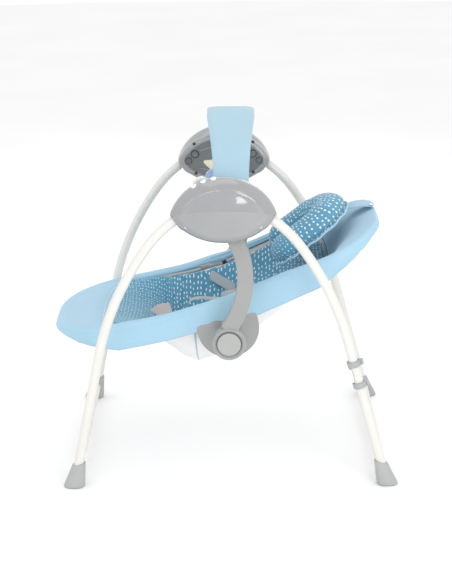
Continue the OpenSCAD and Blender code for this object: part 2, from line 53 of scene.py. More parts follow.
def useOnly(obj):
    if bpy.context.object and bpy.context.object.mode != "OBJECT":
        bpy.ops.object.mode_set(mode="OBJECT")
    bpy.ops.object.select_all(action="DESELECT")
    obj.select_set(True)
    bpy.context.view_layer.objects.active = obj
    return obj


def nothingSelected():
    if bpy.context.object and bpy.context.object.mode != "OBJECT":
        bpy.ops.object.mode_set(mode="OBJECT")
    bpy.ops.object.select_all(action="DESELECT")


def applyModifiers(obj):
    useOnly(obj)
    for modifier in list(obj.modifiers):
        bpy.ops.object.modifier_apply(modifier=modifier.name)


def settle(obj):  # puts the piece's place in its mesh
    useOnly(obj)
    bpy.ops.object.transform_apply(location=True, rotation=True, scale=True)


def cleanMesh(obj, merge=0.00001):
    useOnly(obj)
    bpy.ops.object.mode_set(mode="EDIT")
    bpy.ops.mesh.select_all(action="SELECT")
    bpy.ops.mesh.remove_doubles(threshold=merge)
    bpy.ops.mesh.normals_make_consistent(inside=False)
    bpy.ops.object.mode_set(mode="OBJECT")


def smoothShade(obj, degrees=None):
    useOnly(obj)
    if degrees is None:
        bpy.ops.object.shade_smooth()
    else:
        bpy.ops.object.shade_smooth_by_angle(angle=math.radians(degrees))


def modify(obj, kind, **settings):
    modifier = obj.modifiers.new(kind.title(), kind)
    for key, value in settings.items():
        setattr(modifier, key, value)
    applyModifiers(obj)


def soften(obj, width, segments=3, degrees=32):  # rounds the sharp edges of a moulding
    modify(obj, "BEVEL", width=width, segments=segments, limit_method="ANGLE",
           angle_limit=math.radians(degrees), miter_outer="MITER_ARC")


def meshPiece(name, points, faces):
    mesh = bpy.data.meshes.new(name)
    mesh.from_pydata([tuple(p) for p in points], [], faces)
    mesh.update()
    obj = bpy.data.objects.new(name, mesh)
    bpy.context.scene.collection.objects.link(obj)
    return obj


# Rows of points become a skin; the rows may close on themselves, and so may each row.
def skinPiece(name, rows, closeRows=False, closeRound=False, caps=False):
    across = len(rows[0])
    points = [p for row in rows for p in row]
    faces = []
    for i in range(len(rows) if closeRows else len(rows) - 1):
        for j in range(across if closeRound else across - 1):
            a = i * across + j
            b = i * across + (j + 1) % across
            c = ((i + 1) % len(rows)) * across + (j + 1) % across
            d = ((i + 1) % len(rows)) * across + j
            faces.append((a, b, c, d))
    if caps:
        last = (len(rows) - 1) * across
        faces.append(tuple(reversed(range(across))))
        faces.append(tuple(last + j for j in range(across)))
    return meshPiece(name, points, faces)


# A round or oval cord along a path, such as piping or a bent wire.
def cordPiece(name, path, radius, sides=10, closed=False, flat=1.0):
    rows = []
    count = len(path)
    side = None
    for i, p in enumerate(path):
        ahead = path[(i + 1) % count] if closed or i < count - 1 else p
        behind = path[i - 1] if closed or i > 0 else p
        along = (ahead - behind).normalized()
        if side is None:
            side = along.cross(Vector((0, 0, 1)) if abs(along.z) < 0.9 else Vector((1, 0, 0)))
        side = (side - along * side.dot(along)).normalized()
        up = along.cross(side)
        rows.append([p + side * radius * math.cos(2 * math.pi * k / sides)
                     + up * radius * flat * math.sin(2 * math.pi * k / sides) for k in range(sides)])
    obj = skinPiece(name, rows, closeRows=closed, closeRound=True, caps=not closed)
    cleanMesh(obj)
    smoothShade(obj, 50)
    return obj


# A copy of a CAD node with its edges rounded, which then takes the node's place.
def refined(node, name, width=0.0008, segments=3, degrees=30, smooth=35):
    source = nodes[node]
    obj = bpy.data.objects.new(name, source.data.copy())
    bpy.context.scene.collection.objects.link(obj)
    useOnly(obj)
    bpy.ops.object.mode_set(mode="EDIT")
    bpy.ops.mesh.select_all(action="SELECT")
    bpy.ops.mesh.remove_doubles(threshold=0.00002)
    bpy.ops.mesh.dissolve_limited(angle_limit=math.radians(0.6), use_dissolve_boundaries=False)
    bpy.ops.object.mode_set(mode="OBJECT")
    if width:
        soften(obj, width, segments, degrees)
    smoothShade(obj, smooth)
    return obj


def dress(obj, material, body, slot, *stands):
    obj.data.materials.clear()
    obj.data.materials.append(material)
    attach(obj, body)
    if stands:
        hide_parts(*stands)
    return obj


def joined(name, pieces):
    useOnly(pieces[0])
    for piece in pieces[1:]:
        piece.select_set(True)
    if len(pieces) > 1:
        bpy.ops.object.join()
    pieces[0].name = name
    pieces[0].data.name = name
    return pieces[0]


def rod(name, centre, radius, depth, axis="Y", sides=48, bevel=0.0):
    nothingSelected()
    turn = {"X": (0, math.pi / 2, 0), "Y": (math.pi / 2, 0, 0), "Z": (0, 0, 0)}[axis]
    bpy.ops.mesh.primitive_cylinder_add(vertices=sides, radius=radius, depth=depth, location=centre, rotation=turn)
    obj = bpy.context.object
    obj.name = name
    settle(obj)
    if bevel:
        soften(obj, bevel)
    smoothShade(obj, 35)
    return obj


def block(name, centre, size, bevel, turn=(0, 0, 0)):
    nothingSelected()
    bpy.ops.mesh.primitive_cube_add(size=1, location=centre, rotation=turn)
    obj = bpy.context.object
    obj.name = name
    obj.scale = size
    settle(obj)
    soften(obj, bevel)
    smoothShade(obj, 35)
    return obj


# Materials

class Wire:  # a shader socket that can be used in sums
    def __init__(self, tree, socket=None):
        self.tree = tree
        self.socket = socket

    # The one way to any other node: its settings go in first, then its sockets.
    def node(self, kind, settings, values, output=0):
        made = self.tree.nodes.new("ShaderNode" + kind)
        for key, value in settings.items():
            if key == "stops":
                ramp = made.color_ramp
                while len(ramp.elements) < len(value):
                    ramp.elements.new(0.5)
                for element, (place, colour) in zip(ramp.elements, value):
                    element.position = place
                    element.color = colour if len(colour) == 4 else (*colour, 1)
            else:
                setattr(made, key, value)
        for key, value in values.items():
            if isinstance(value, Wire):
                self.tree.links.new(value.socket, made.inputs[key])
            else:
                made.inputs[key].default_value = value
        return Wire(self.tree, made.outputs[output])

    def sum(self, operation, a, b):
        return self.node("Math", {"operation": operation}, {0: a, 1: b})

    def __add__(self, other): return self.sum("ADD", self, other)
    def __radd__(self, other): return self.sum("ADD", other, self)
    def __sub__(self, other): return self.sum("SUBTRACT", self, other)
    def __rsub__(self, other): return self.sum("SUBTRACT", other, self)
    def __mul__(self, other): return self.sum("MULTIPLY", self, other)
    def __rmul__(self, other): return self.sum("MULTIPLY", other, self)
    def __truediv__(self, other): return self.sum("DIVIDE", self, other)
    def __rtruediv__(self, other): return self.sum("DIVIDE", other, self)
    def __gt__(self, other): return self.sum("GREATER_THAN", self, other)
    def __lt__(self, other): return self.sum("LESS_THAN", self, other)
    def __abs__(self): return self.sum("ABSOLUTE", self, 0.0)

    def least(self, other): return self.sum("MINIMUM", self, other)
    def most(self, other): return self.sum("MAXIMUM", self, other)
    def sine(self): return self.sum("SINE", self, 0.0)

    def ramp(self, low, high, start=0.0, end=1.0):  # smooth step between two values
        return self.node("MapRange", {"interpolation_type": "SMOOTHSTEP"},
                         {"Value": self, "From Min": low, "From Max": high, "To Min": start, "To Max": end})

    def blend(self, first, second):  # two colours by this mask
        a, b = [c if isinstance(c, Wire) or len(c) == 4 else (*c, 1) for c in (first, second)]
        return self.node("Mix", {"data_type": "RGBA"}, {0: self, 6: a, 7: b}, 2)

    def axis(self, letter):
        return self.node("SeparateXYZ", {}, {0: self}, "XYZ".index(letter))

    def noise(self, scale, detail=2.0, rough=0.5):
        return self.node("TexNoise", {}, {"Vector": self, "Scale": scale, "Detail": detail, "Roughness": rough})

    def scaled(self, x, y, z):
        return self.node("VectorMath", {"operation": "MULTIPLY"}, {0: self, 1: (x, y, z)})


class Finish:  # a material with its shader, fed from object or cloth coordinates
    def __init__(self, name, **settings):
        self.material = bpy.data.materials.new(name)
        self.material.use_nodes = True
        self.tree = self.material.node_tree
        self.tree.nodes.clear()
        self.shader = self.tree.nodes.new("ShaderNodeBsdfPrincipled")
        out = self.tree.nodes.new("ShaderNodeOutputMaterial")
        self.tree.links.new(self.shader.outputs[0], out.inputs[0])
        pen = Wire(self.tree)
        self.place = pen.node("TexCoord", {}, {}, 3)
        self.cloth = pen.node("Attribute", {"attribute_name": "cloth"}, {}, 1)
        for key, value in settings.items():
            socket = self.shader.inputs[key.replace("_", " ").title().replace("Ior", "IOR")]
            socket.default_value = (*value, 1) if isinstance(value, tuple) and len(value) == 3 else value

    def feed(self, **links):
        for key, value in links.items():
            self.tree.links.new(value.socket, self.shader.inputs[key.replace("_", " ").title()])

    def bump(self, height, strength, distance):
        node = Wire(self.tree).node("Bump", {}, {"Height": height, "Strength": strength, "Distance": distance})
        self.tree.links.new(node.socket, self.shader.inputs["Normal"])


# Plastics and metals

def mouldedPlastic(name, colour, gloss, grain=0.25, coat=0.0, shade=0.06):
    finish = Finish(name, coat_weight=coat, coat_roughness=0.06)
    cloud = finish.place.noise(9.0, 3.0)
    specks = finish.place.noise(1400.0, 1.0)
    swirl = finish.place.noise(60.0, 3.0)
    darker = tuple(c * (1 - shade) for c in colour)
    lighter = tuple(min(c * (1 + shade), 1) for c in colour)
    tone = (cloud * 0.7 + swirl * 0.3).ramp(0.3, 0.7).blend(darker, lighter)
    finish.feed(base_color=tone, roughness=(specks - 0.5) * 0.12 + (cloud - 0.5) * 0.06 + gloss)
    finish.bump(specks * 0.6 + swirl * 0.4, grain, 0.00012)
    return finish.material


def powderCoat(name, colour):
    finish = Finish(name, coat_weight=0.25, coat_roughness=0.12)
    orangePeel = finish.place.noise(420.0, 2.0)
    cloud = finish.place.noise(6.0, 2.0)
    dust = (finish.place.noise(1800.0, 1.0) - 0.62).ramp(0.0, 0.12)
    tone = cloud.ramp(0.3, 0.7).blend(tuple(c * 0.975 for c in colour), colour)
    finish.feed(base_color=(dust * 0.25).blend(tone, tuple(c * 0.9 for c in colour)),
                roughness=orangePeel * 0.14 + 0.24)
    finish.bump(orangePeel, 0.25, 0.0001)
    return finish.material


def brushedSteel(name, colour, rough=0.25):
    finish = Finish(name)
    lines = finish.place.scaled(40, 2600, 2600).noise(1.0, 3.0)
    smudge = finish.place.noise(150.0, 3.0)
    finish.feed(base_color=smudge.ramp(0.3, 0.7).blend(tuple(c * 0.85 for c in colour), colour),
                roughness=lines * 0.2 + (smudge - 0.5) * 0.1 + rough, metallic=smudge * 0.04 + 0.95)
    finish.bump(lines, 0.15, 0.00005)
    return finish.material


# Fabrics

# A plain weave, as the height of warp and weft threads a given pitch apart.
def threads(place, pitch):
    turns = 2 * math.pi / pitch
    warp = (place.axis("X") * turns).sine()
    weft = (place.axis("Y") * turns).sine()
    over = (place.axis("X") * (turns / 2)).sine() * (place.axis("Y") * (turns / 2)).sine()
    return (warp * warp * (over * 0.5 + 0.5) + weft * weft * (0.5 - over * 0.5))


# A row of stitches along X at a given Y: 1 on the thread, 0 beside it.
def stitches(place, at, length=0.0032, width=0.0007):
    alongRow = (place.axis("X") * (2 * math.pi / length)).sine().ramp(-0.45, -0.2)
    return abs(place.axis("Y") - at).ramp(width * 0.6, width, 1.0, 0.0) * alongRow


def wovenCloth(name, colour, seams=(), thread=None, pitch=0.0011, fuzz=0.08, rough=0.86, sheen=0.25):
    finish = Finish(name, sheen_weight=sheen, sheen_roughness=0.5, specular_ior_level=0.25)
    place = finish.cloth
    weave = threads(place, pitch)
    slub = place.scaled(1, 7, 1).noise(260.0, 3.0)
    slubAcross = place.scaled(7, 1, 1).noise(260.0, 3.0)
    patchy = place.noise(14.0, 3.0)
    dark = tuple(c * (1 - fuzz * 2.2) for c in colour)
    light = tuple(min(c * (1 + fuzz), 1) for c in colour)
    tone = (weave * 0.35 + slub * 0.33 + slubAcross * 0.32).ramp(0.25, 0.7).blend(dark, light)
    tone = (patchy.ramp(0.35, 0.65) * 0.35).blend(tone, tuple(c * (1 - fuzz * 0.9) for c in colour))
    height = weave * 0.6 + slub * 0.3 + slubAcross * 0.3
    for at in seams:
        # painted shade: the cloth colour is darkened along each seam's groove, and the same mask sinks the groove in
        # the bump
        seamGrooveShade = abs(place.axis("Y") - at).ramp(0.0, 0.0022, 1.0, 0.0)
        sewn = stitches(place, at)
        tone = (seamGrooveShade * 0.4).blend(tone, tuple(c * 0.62 for c in colour))
        tone = sewn.blend(tone, thread or tuple(min(c * 1.25, 1) for c in colour))
        height = height - seamGrooveShade * 2.2 + sewn * 1.4
    finish.feed(base_color=tone, roughness=weave * 0.06 + (rough - 0.03))
    finish.bump(height, 0.55, 0.0003)
    return finish.material


# Rain of short white dashes, smaller and denser past the stitched deck line.
def printedDashes(name, ground, ink):
    finish = Finish(name, sheen_weight=0.3, sheen_roughness=0.5, specular_ior_level=0.2)
    place = finish.cloth

    def dashes(pitchX, pitchY, length, width, seed):
        cells = place.scaled(1 / pitchX, 1 / pitchY, 0)
        shifted = finish.cloth.node("VectorMath", {"operation": "ADD"}, {0: cells, 1: (seed, seed * 1.7, 0)})
        spot = {"voronoi_dimensions": "2D", "feature": "F1"}
        ways = {"Vector": shifted, "Scale": 1.0, "Randomness": 0.4}
        centre = shifted.node("TexVoronoi", spot, ways, 2)
        chance = shifted.node("TexVoronoi", spot, ways, 1)
        away = shifted.node("VectorMath", {"operation": "SUBTRACT"}, {0: shifted, 1: centre})
        lean = (chance.axis("X") - 0.5) * 0.35
        dx = away.axis("X") * pitchX
        dy = away.axis("Y") * pitchY
        sideways = abs(dx - dy * lean)
        size = chance.axis("Y") * 0.5 + 0.75
        lengthwise = abs(dy) - (size * length - width)
        reach = (lengthwise.most(0.0) * lengthwise.most(0.0) + sideways * sideways)
        return reach.ramp(width * width * 0.55, width * width * 1.3, 1.0, 0.0)

    big = dashes(0.0104, 0.0116, 0.0028, 0.0016, 3.0)
    small = dashes(0.0086, 0.0112, 0.0017, 0.0013, 7.0)
    legEnd = place.axis("X").ramp(-0.156, -0.150, 1.0, 0.0)
    ink1 = (big * (1 - legEnd) + small * legEnd).least(1.0)
    weave = threads(place, 0.0009)
    fluff = place.noise(900.0, 2.0)
    patchy = place.noise(16.0, 3.0)
    cloth = (weave * 0.4 + fluff * 0.6).ramp(0.25, 0.75).blend(tuple(c * 0.84 for c in ground),
            tuple(min(c * 1.1, 1) for c in ground))
    cloth = (patchy.ramp(0.35, 0.65) * 0.3).blend(cloth, tuple(c * 0.88 for c in ground))
    inkTone = fluff.ramp(0.3, 0.7).blend(tuple(c * 0.9 for c in ink), ink)
    finish.feed(base_color=(ink1 * 0.92).blend(cloth, inkTone), roughness=weave * 0.05 + 0.84 - ink1 * 0.06)
    finish.bump(weave * 0.5 + fluff * 0.5 + ink1 * 0.25, 0.5, 0.0003)
    return finish.material


def ribbedWebbing(name, colour, pitch=0.0021):
    finish = Finish(name, sheen_weight=0.15, sheen_roughness=0.4, specular_ior_level=0.35)
    place = finish.cloth
    ribs = (place.axis("X") * (2 * math.pi / pitch)).sine()
    cross = (place.axis("Y") * (2 * math.pi / (pitch * 0.8))).sine()
    edge = abs(place.axis("Y")).ramp(0.0102, 0.0112)
    fluff = place.noise(1200.0, 2.0)
    tone = (ribs * 0.3 + cross * 0.2 + fluff).ramp(0.1, 0.9).blend(tuple(c * 0.74 for c in colour),
            tuple(min(c * 1.12, 1) for c in colour))
    tone = (edge * 0.45).blend(tone, tuple(c * 0.7 for c in colour))
    finish.feed(base_color=tone, roughness=fluff * 0.1 + 0.62)
    finish.bump(ribs * 0.6 + cross * 0.4 + fluff * 0.3 - edge * 0.8, 0.6, 0.0003)
    return finish.material


def plushCloth(name, colour, nap=0.12):
    finish = Finish(name, sheen_weight=0.6, sheen_roughness=0.4, specular_ior_level=0.15)
    pile = finish.place.noise(1500.0, 3.0)
    tufts = finish.place.noise(260.0, 3.0)
    tone = (pile * 0.6 + tufts * 0.4).ramp(0.3, 0.7).blend(tuple(c * (1 - nap * 1.6) for c in colour),
            tuple(min(c * (1 + nap), 1) for c in colour))
    finish.feed(base_color=tone, roughness=pile * 0.06 + 0.88)
    finish.bump(pile * 0.7 + tufts * 0.6, 0.7, 0.0006)
    return finish.material


def electricPart(name, colour, metallic, rough, scale=500.0):
    finish = Finish(name)
    grain = finish.place.noise(scale, 3.0)
    tone = grain.ramp(0.35, 0.65).blend(tuple(c * 0.7 for c in colour), colour)
    finish.feed(base_color=tone, roughness=grain * 0.15 + rough, metallic=grain * 0.05 + metallic)
    finish.bump(grain, 0.2, 0.0001)
    return finish.material


shellGloss = mouldedPlastic("shellGloss", (0.285, 0.29, 0.30), 0.1, grain=0.03, coat=0.8, shade=0.03)
shellDark = mouldedPlastic("shellDark", (0.125, 0.135, 0.135), 0.24, grain=0.1, coat=0.4, shade=0.05)
panelMatte = mouldedPlastic("panelMatte", (0.315, 0.32, 0.325), 0.46, grain=0.45, shade=0.03)
armGrey = mouldedPlastic("armGrey", (0.30, 0.305, 0.30), 0.3, grain=0.16, coat=0.15, shade=0.03)
ringGloss = mouldedPlastic("ringGloss", (0.31, 0.315, 0.315), 0.16, grain=0.08, coat=0.5, shade=0.03)
capGrey = mouldedPlastic("capGrey", (0.36, 0.37, 0.36), 0.36, grain=0.2, shade=0.03)
bootGrey = mouldedPlastic("bootGrey", (0.38, 0.39, 0.385), 0.5, grain=0.35, shade=0.04)
clipGrey = mouldedPlastic("clipGrey", (0.36, 0.37, 0.38), 0.38, grain=0.25, shade=0.05)
blackPlastic = mouldedPlastic("blackPlastic", (0.03, 0.032, 0.035), 0.42, grain=0.3)
buckleGrey = mouldedPlastic("buckleGrey", (0.30, 0.32, 0.335), 0.36, grain=0.25)
pearlWhite = mouldedPlastic("pearlWhite", (0.83, 0.84, 0.85), 0.14, grain=0.05, coat=0.6, shade=0.02)
dialPearl = mouldedPlastic("dialPearl", (0.62, 0.63, 0.635), 0.2, grain=0.08, coat=0.5, shade=0.05)
creamTube = powderCoat("creamTube", (0.70, 0.69, 0.655))
screwSteel = brushedSteel("screwSteel", (0.62, 0.63, 0.64))
snapSteel = brushedSteel("snapSteel", (0.78, 0.79, 0.80), 0.16)

skyBlue = (0.37, 0.585, 0.725)
coverCloth = wovenCloth("coverCloth", skyBlue, seams=(0.0475,))
sleeveCloth = wovenCloth("sleeveCloth", (0.37, 0.545, 0.645), seams=(-0.049, 0.049))
flapCloth = wovenCloth("flapCloth", (0.35, 0.54, 0.66), seams=(-0.022, 0.022))
pouchCloth = wovenCloth("pouchCloth", (0.83, 0.83, 0.84), fuzz=0.035, pitch=0.0016)
linerCloth = printedDashes("linerCloth", (0.105, 0.315, 0.455), (0.86, 0.90, 0.92))
pipingCloth = wovenCloth("pipingCloth", (0.105, 0.20, 0.25), pitch=0.0012, fuzz=0.1)
harnessWebbing = ribbedWebbing("harnessWebbing", (0.40, 0.445, 0.465))
tagCloth = wovenCloth("tagCloth", (0.60, 0.54, 0.53), pitch=0.0008, fuzz=0.05)
labelPaper = mouldedPlastic("labelPaper", (0.80, 0.80, 0.80), 0.5, grain=0.1, shade=0.02)
starPlush = plushCloth("starPlush", (0.80, 0.74, 0.56))
cloudPlush = plushCloth("cloudPlush", (0.36, 0.44, 0.66))
batteryWrap = electricPart("batteryWrap", (0.55, 0.40, 0.08), 0.3, 0.3)
boardGreen = electricPart("boardGreen", (0.03, 0.16, 0.06), 0.0, 0.4)
copperWire = electricPart("copperWire", (0.65, 0.28, 0.14), 0.85, 0.3, 1200.0)

# Every CAD node starts with the finish of its slot.
slotFinish = {
    "hub_gloss": shellGloss, "hub_matte": panelMatte, "arm_plastic": armGrey, "dark_plastic": shellDark,
    "white_plastic": pearlWhite, "dial_plastic": dialPearl, "foot_plastic": bootGrey, "tube_paint": creamTube,
    "steel": screwSteel, "battery": batteryWrap, "board": boardGreen, "copper": copperWire,
    "outer_fabric": coverCloth, "white_fabric": pouchCloth, "liner_fabric": linerCloth, "webbing": harnessWebbing,
    "tag_fabric": tagCloth, "star_fabric": starPlush, "cloud_fabric": cloudPlush,
}
for part in frame["record"]["subparts"]:
    nodes[part["node"]].data.materials.clear()
    nodes[part["node"]].data.materials.append(slotFinish[part["material_slot"]])
print("finishes are made")


# Camera, light and floor

view = {"yaw": 0.249, "pitch": 17.285, "roll": -0.583, "away": 3.602, "height": 1.496, "centreX": 0.010, "lens": 96.76}
yaw, pitch, roll = (math.radians(view[key]) for key in ("yaw", "pitch", "roll"))
ahead = Vector((-math.sin(yaw) * math.cos(pitch), math.cos(yaw) * math.cos(pitch), -math.sin(pitch)))
level = Vector((math.cos(yaw), math.sin(yaw), 0))
upward = level.cross(ahead)
rightward = level * math.cos(roll) + upward * math.sin(roll)
upward = upward * math.cos(roll) - level * math.sin(roll)
camera = bpy.data.objects.new("swingCamera", bpy.data.cameras.new("swingCamera"))
bpy.context.scene.collection.objects.link(camera)
camera.data.lens = view["lens"]
camera.data.sensor_width = 36
camera.matrix_world = Matrix.Translation((math.sin(yaw) * view["away"] + view["centreX"],
        -math.cos(yaw) * view["away"], view["height"])) \
    @ Matrix((rightward, upward, -ahead)).transposed().to_4x4()
bpy.context.scene.camera = camera

nothingSelected()
bpy.ops.mesh.primitive_circle_add(vertices=96, radius=9, fill_type="NGON", location=(0, 0, -0.0006))
studioFloor = bpy.context.object
settle(studioFloor)
studioFloor.name = "studioFloor"
floorFinish = Finish("floorPale", roughness=0.9, specular_ior_level=0.05)
floorFinish.feed(base_color=floorFinish.place.noise(1.5, 2.0).ramp(0.3, 0.7).blend((0.93, 0.93, 0.93),
        (0.95, 0.95, 0.95)))
studioFloor.data.materials.append(floorFinish.material)

studio = {"world": 1.0, "key": 11, "fill": 5.5, "top": 9, "back": 6}
world = bpy.data.worlds.new("studioWorld")
bpy.context.scene.world = world
world.use_nodes = True
world.node_tree.nodes["Background"].inputs[0].default_value = (1, 1, 1, 1)
world.node_tree.nodes["Background"].inputs[1].default_value = studio["world"]


def softbox(name, place, target, width, height, power):
    lamp = bpy.data.objects.new(name, bpy.data.lights.new(name, "AREA"))
    lamp.data.shape = "RECTANGLE"
    lamp.data.size, lamp.data.size_y, lamp.data.energy = width, height, power
    lamp.location = place
    lamp.rotation_euler = (Vector(target) - Vector(place)).to_track_quat("-Z", "Y").to_euler()
    bpy.context.scene.collection.objects.link(lamp)


softbox("keyBox", (1.5, -2.6, 2.5), (0, 0, 0.45), 1.1, 1.1, studio["key"])
softbox("fillBox", (-2.6, -2.0, 1.6), (0, 0, 0.4), 1.4, 1.6, studio["fill"])
softbox("topBox", (-0.2, 0.5, 3.0), (0, 0, 0.3), 2.2, 1.6, studio["top"])
softbox("windowBox", (1.35, -3.0, 1.05), (0.03, -0.33, 0.66), 1.25, 0.85, 20)
softbox("stripBox", (-1.0, -2.9, 1.75), (-0.03, -0.33, 0.67), 1.5, 0.14, 9)
softbox("backBox", (0.6, 3.0, 1.8), (0, 0, 0.4), 2.0, 1.4, studio["back"])
bpy.context.scene.view_settings.view_transform = "Standard"
print("camera, light and floor are set")


# Main measures, in millimetres

hubX, hubZ, legY, pinX, pinDrop, legRadius = 7, 650, 285, 88, 7, 11
hubTop = {"r": 119, "cz": -43}
hubLow = {"r": 146, "cz": 75}
hubTip = {"r": 113, "cz": -10}


def polar(radius, degrees):
    return radius * math.cos(math.radians(degrees)), radius * math.sin(math.radians(degrees))


# Hub shells

hubLobe = {"x": 76, "z": -15, "r": 30}


def hubInset(x, z):  # how far a point is inside the hub's outline, with its lobes over the legs
    lens = min(arc["r"] - math.hypot(x, z - arc["cz"]) for arc in (hubTop, hubLow, hubTip))
    return max(lens, hubLobe["r"] - math.hypot(abs(x) - hubLobe["x"], z - hubLobe["z"]))


def domeY(x, z):
    return 115 + math.sqrt(max(220 * 220 - x * x - z * z, 0))


shellShape = {"split": 262, "lip": 287, "wide": 1.03, "rim": 24, "rimPower": 2.15, "rings": 26, "spokes": 168,
        "wall": 2.4,
              "taper": 12.5, "taperLow": 1.5}


def shellY(x, z):
    t = min(max(hubInset(x, z), 0) / shellShape["rim"], 1)
    lift = (1 - (1 - t) ** shellShape["rimPower"]) ** (1 / shellShape["rimPower"])
    crest = 1.6 * math.exp(-((hubInset(x, z) - 20) / 5) ** 2)
    return shellShape["lip"] + (domeY(x, z) - 2.2 - shellShape["lip"]) * lift + crest


def rimReach(angle, inset=0.0):  # distance from the middle to the outline, in one direction
    low, high = 0, 140
    for _ in range(30):
        middle = (low + high) / 2
        x, z = polar(middle, angle)
        if hubInset(x, z) > inset:
            low = middle
        else:
            high = middle
    return low


def hubPoint(side, x, y, z):
    return Vector(((hubX + x) * mm, side * y * mm, (hubZ + z) * mm))


def hubTaper(angle):  # how far the shell draws in behind its lip, most along the top
    return shellShape["taperLow"] + (shellShape["taper"] - shellShape["taperLow"]) * max(0.0,
            math.sin(math.radians(angle))) ** 0.8


def hubRing(side, angle, share, y, drawn=0.0):  # a point on the outline, or inside it
    reach = rimReach(angle)
    x, z = polar(reach * share - drawn, angle)
    return hubPoint(side, x * shellShape["wide"], shellY(*polar(reach * share, angle)) if y is None else y, z)


def hubRows(side, plan):  # each ring is a share of the way out, a depth, and how far it draws in
    angles = [360 * j / shellShape["spokes"] for j in range(shellShape["spokes"])]
    return [[hubRing(side, angle, share, y, drawn * hubTaper(angle) + plain) for angle in angles] for share, y,
            drawn, plain in plan]


def faceOutward(obj, middle):  # turns the faces away from a point inside the piece
    facing = sum((p.center - middle).dot(p.normal) * p.area for p in obj.data.polygons)
    if facing < 0:
        obj.data.flip_normals()


def hubShell(side, name):
    rings = shellShape["rings"]
    plan = [(max(1 - (1 - k / rings) ** 1.9, 0.02), None, 0, 0) for k in range(rings + 1)]
    depth = shellShape["lip"] - shellShape["split"] - 0.3
    for k in range(1, 9):
        t = k / 8
        plan.append((1, shellShape["lip"] - depth * t, 1 - math.cos(math.pi / 2 * t), 0))
    rows = hubRows(side, plan)
    obj = skinPiece(name, rows, closeRound=True)
    obj.data.update()
    crown = meshPiece("crown", rows[0], [tuple(range(len(rows[0])))])
    joined(name, [obj, crown])
    cleanMesh(obj)
    faceOutward(obj, hubPoint(side, 0, 262, 0))
    modify(obj, "SOLIDIFY", thickness=shellShape["wall"] * mm, offset=-1)
    return obj


def innerShell(side, name):  # the rounded back half of a hub, which faces the seat
    plan = [(share, 249.2, 0, 0) for share in (0.02, 0.2, 0.4, 0.6)]
    plan += [(0.8, 249.0, 0, 0)]
    plan += [(1, 248.9, 1, 19), (1, 248.4, 1, 17), (1, 247.5, 1, 15.5), (1, 247.1, 1, 13), (1, 247.3, 1, 10)]
    for k in range(1, 9):
        a = math.pi / 2 * k / 8
        plan.append((1, 247.3 + 14.6 * (1 - math.cos(a)), 1, 10 * (1 - math.sin(a))))
    rows = hubRows(side, plan)
    obj = skinPiece(name, rows, closeRound=True)
    crown = meshPiece("crown", rows[0], [tuple(range(len(rows[0])))])
    joined(name, [obj, crown])
    cleanMesh(obj)
    faceOutward(obj, hubPoint(side, 0, 270, 0))
    modify(obj, "SOLIDIFY", thickness=shellShape["wall"] * mm, offset=-1)
    return obj


def prism(outline, y0, y1, side):  # a cutter drawn in the plane of the hub
    near = [hubPoint(side, x, y0, z) for x, z in outline]
    far = [hubPoint(side, x, y1, z) for x, z in outline]
    obj = skinPiece("cutter", [near, far], closeRound=True, caps=True)
    cleanMesh(obj)
    return obj


def cut(obj, cutter):
    modify(obj, "BOOLEAN", object=cutter, operation="DIFFERENCE", solver="EXACT")
    bpy.data.objects.remove(cutter)


legSlot = [(62, 6), (88, 9), (98, 2), (130, -22), (128, -46), (106, -66), (62, -50)]
armSlot = [(-12, -40), (68, -40), (78, -80), (-14, -80)]
panelShape = {"inset": 6.4, "seamRadius": 442, "seamTop": 10, "proud": 0.5, "columns": 96, "rows": 26}


def panelEdges(x):  # the lowest and highest points of the lower panel at a distance along it
    inset = panelShape["inset"]

    def low(arc):
        room = (arc["r"] - inset) ** 2 - x * x
        return arc["cz"] - math.sqrt(room) if room > 0 else 99

    def high(arc):
        room = (arc["r"] - inset) ** 2 - x * x
        return arc["cz"] + math.sqrt(room) if room > 0 else -99

    seam = panelShape["seamTop"] - (panelShape["seamRadius"] - math.sqrt(panelShape["seamRadius"] ** 2 - x * x))
    return max(low(hubLow), low(hubTip)), min(seam, high(hubTop), high(hubTip))


def hubPanel(side, name):
    reach = 100.0
    while panelEdges(reach)[1] - panelEdges(reach)[0] > 0.4 and reach < 112:
        reach += 0.05
    rows = []
    for i in range(panelShape["columns"] + 1):
        x = reach * math.sin(math.pi / 2 * (2 * i / panelShape["columns"] - 1))
        low, high = panelEdges(x)
        row = []
        for j in range(panelShape["rows"] + 1):
            z = low + (high - low) * (0.5 - 0.5 * math.cos(math.pi * j / panelShape["rows"]))
            edge = min(hubInset(x, z) - panelShape["inset"], high - z, (reach - abs(x)) * 0.6)
            fall = 2.0 * (1 - min(max(edge, 0) / 1.8, 1)) ** 2
            dish = 0.9 * min(max(hubInset(x, z) - 16, 0) / 10, 1)
            row.append(hubPoint(side, x * shellShape["wide"],
                    shellY(x, z) + panelShape["proud"] + 0.9 - fall - dish, z))
        rows.append(row)
    obj = skinPiece(name, rows)
    obj.data.update()
    if sum(p.normal.y * side for p in obj.data.polygons) < 0:
        obj.data.flip_normals()
    modify(obj, "SOLIDIFY", thickness=0.0016, offset=-1)
    smoothShade(obj, 50)
    return obj


def crossScrew(name, centre, radius, side):  # a chromed pan head with a cross recess
    nothingSelected()
    bpy.ops.mesh.primitive_cylinder_add(vertices=32, radius=radius * mm, depth=1.6 * mm, location=centre,
            rotation=(math.pi / 2, 0, 0))
    head = bpy.context.object
    settle(head)
    soften(head, 0.0007, 3)
    for turn in (0.4, 0.4 + math.pi / 2):
        nothingSelected()
        bpy.ops.mesh.primitive_cube_add(size=1, location=centre + Vector((0, side * 0.0008, 0)), rotation=(0, turn, 0))
        slot = bpy.context.object
        slot.scale = (radius * 1.25 * mm, 1.1 * mm, radius * 0.3 * mm)
        settle(slot)
        cut(head, slot)
    smoothShade(head, 35)
    head.name = name
    return head


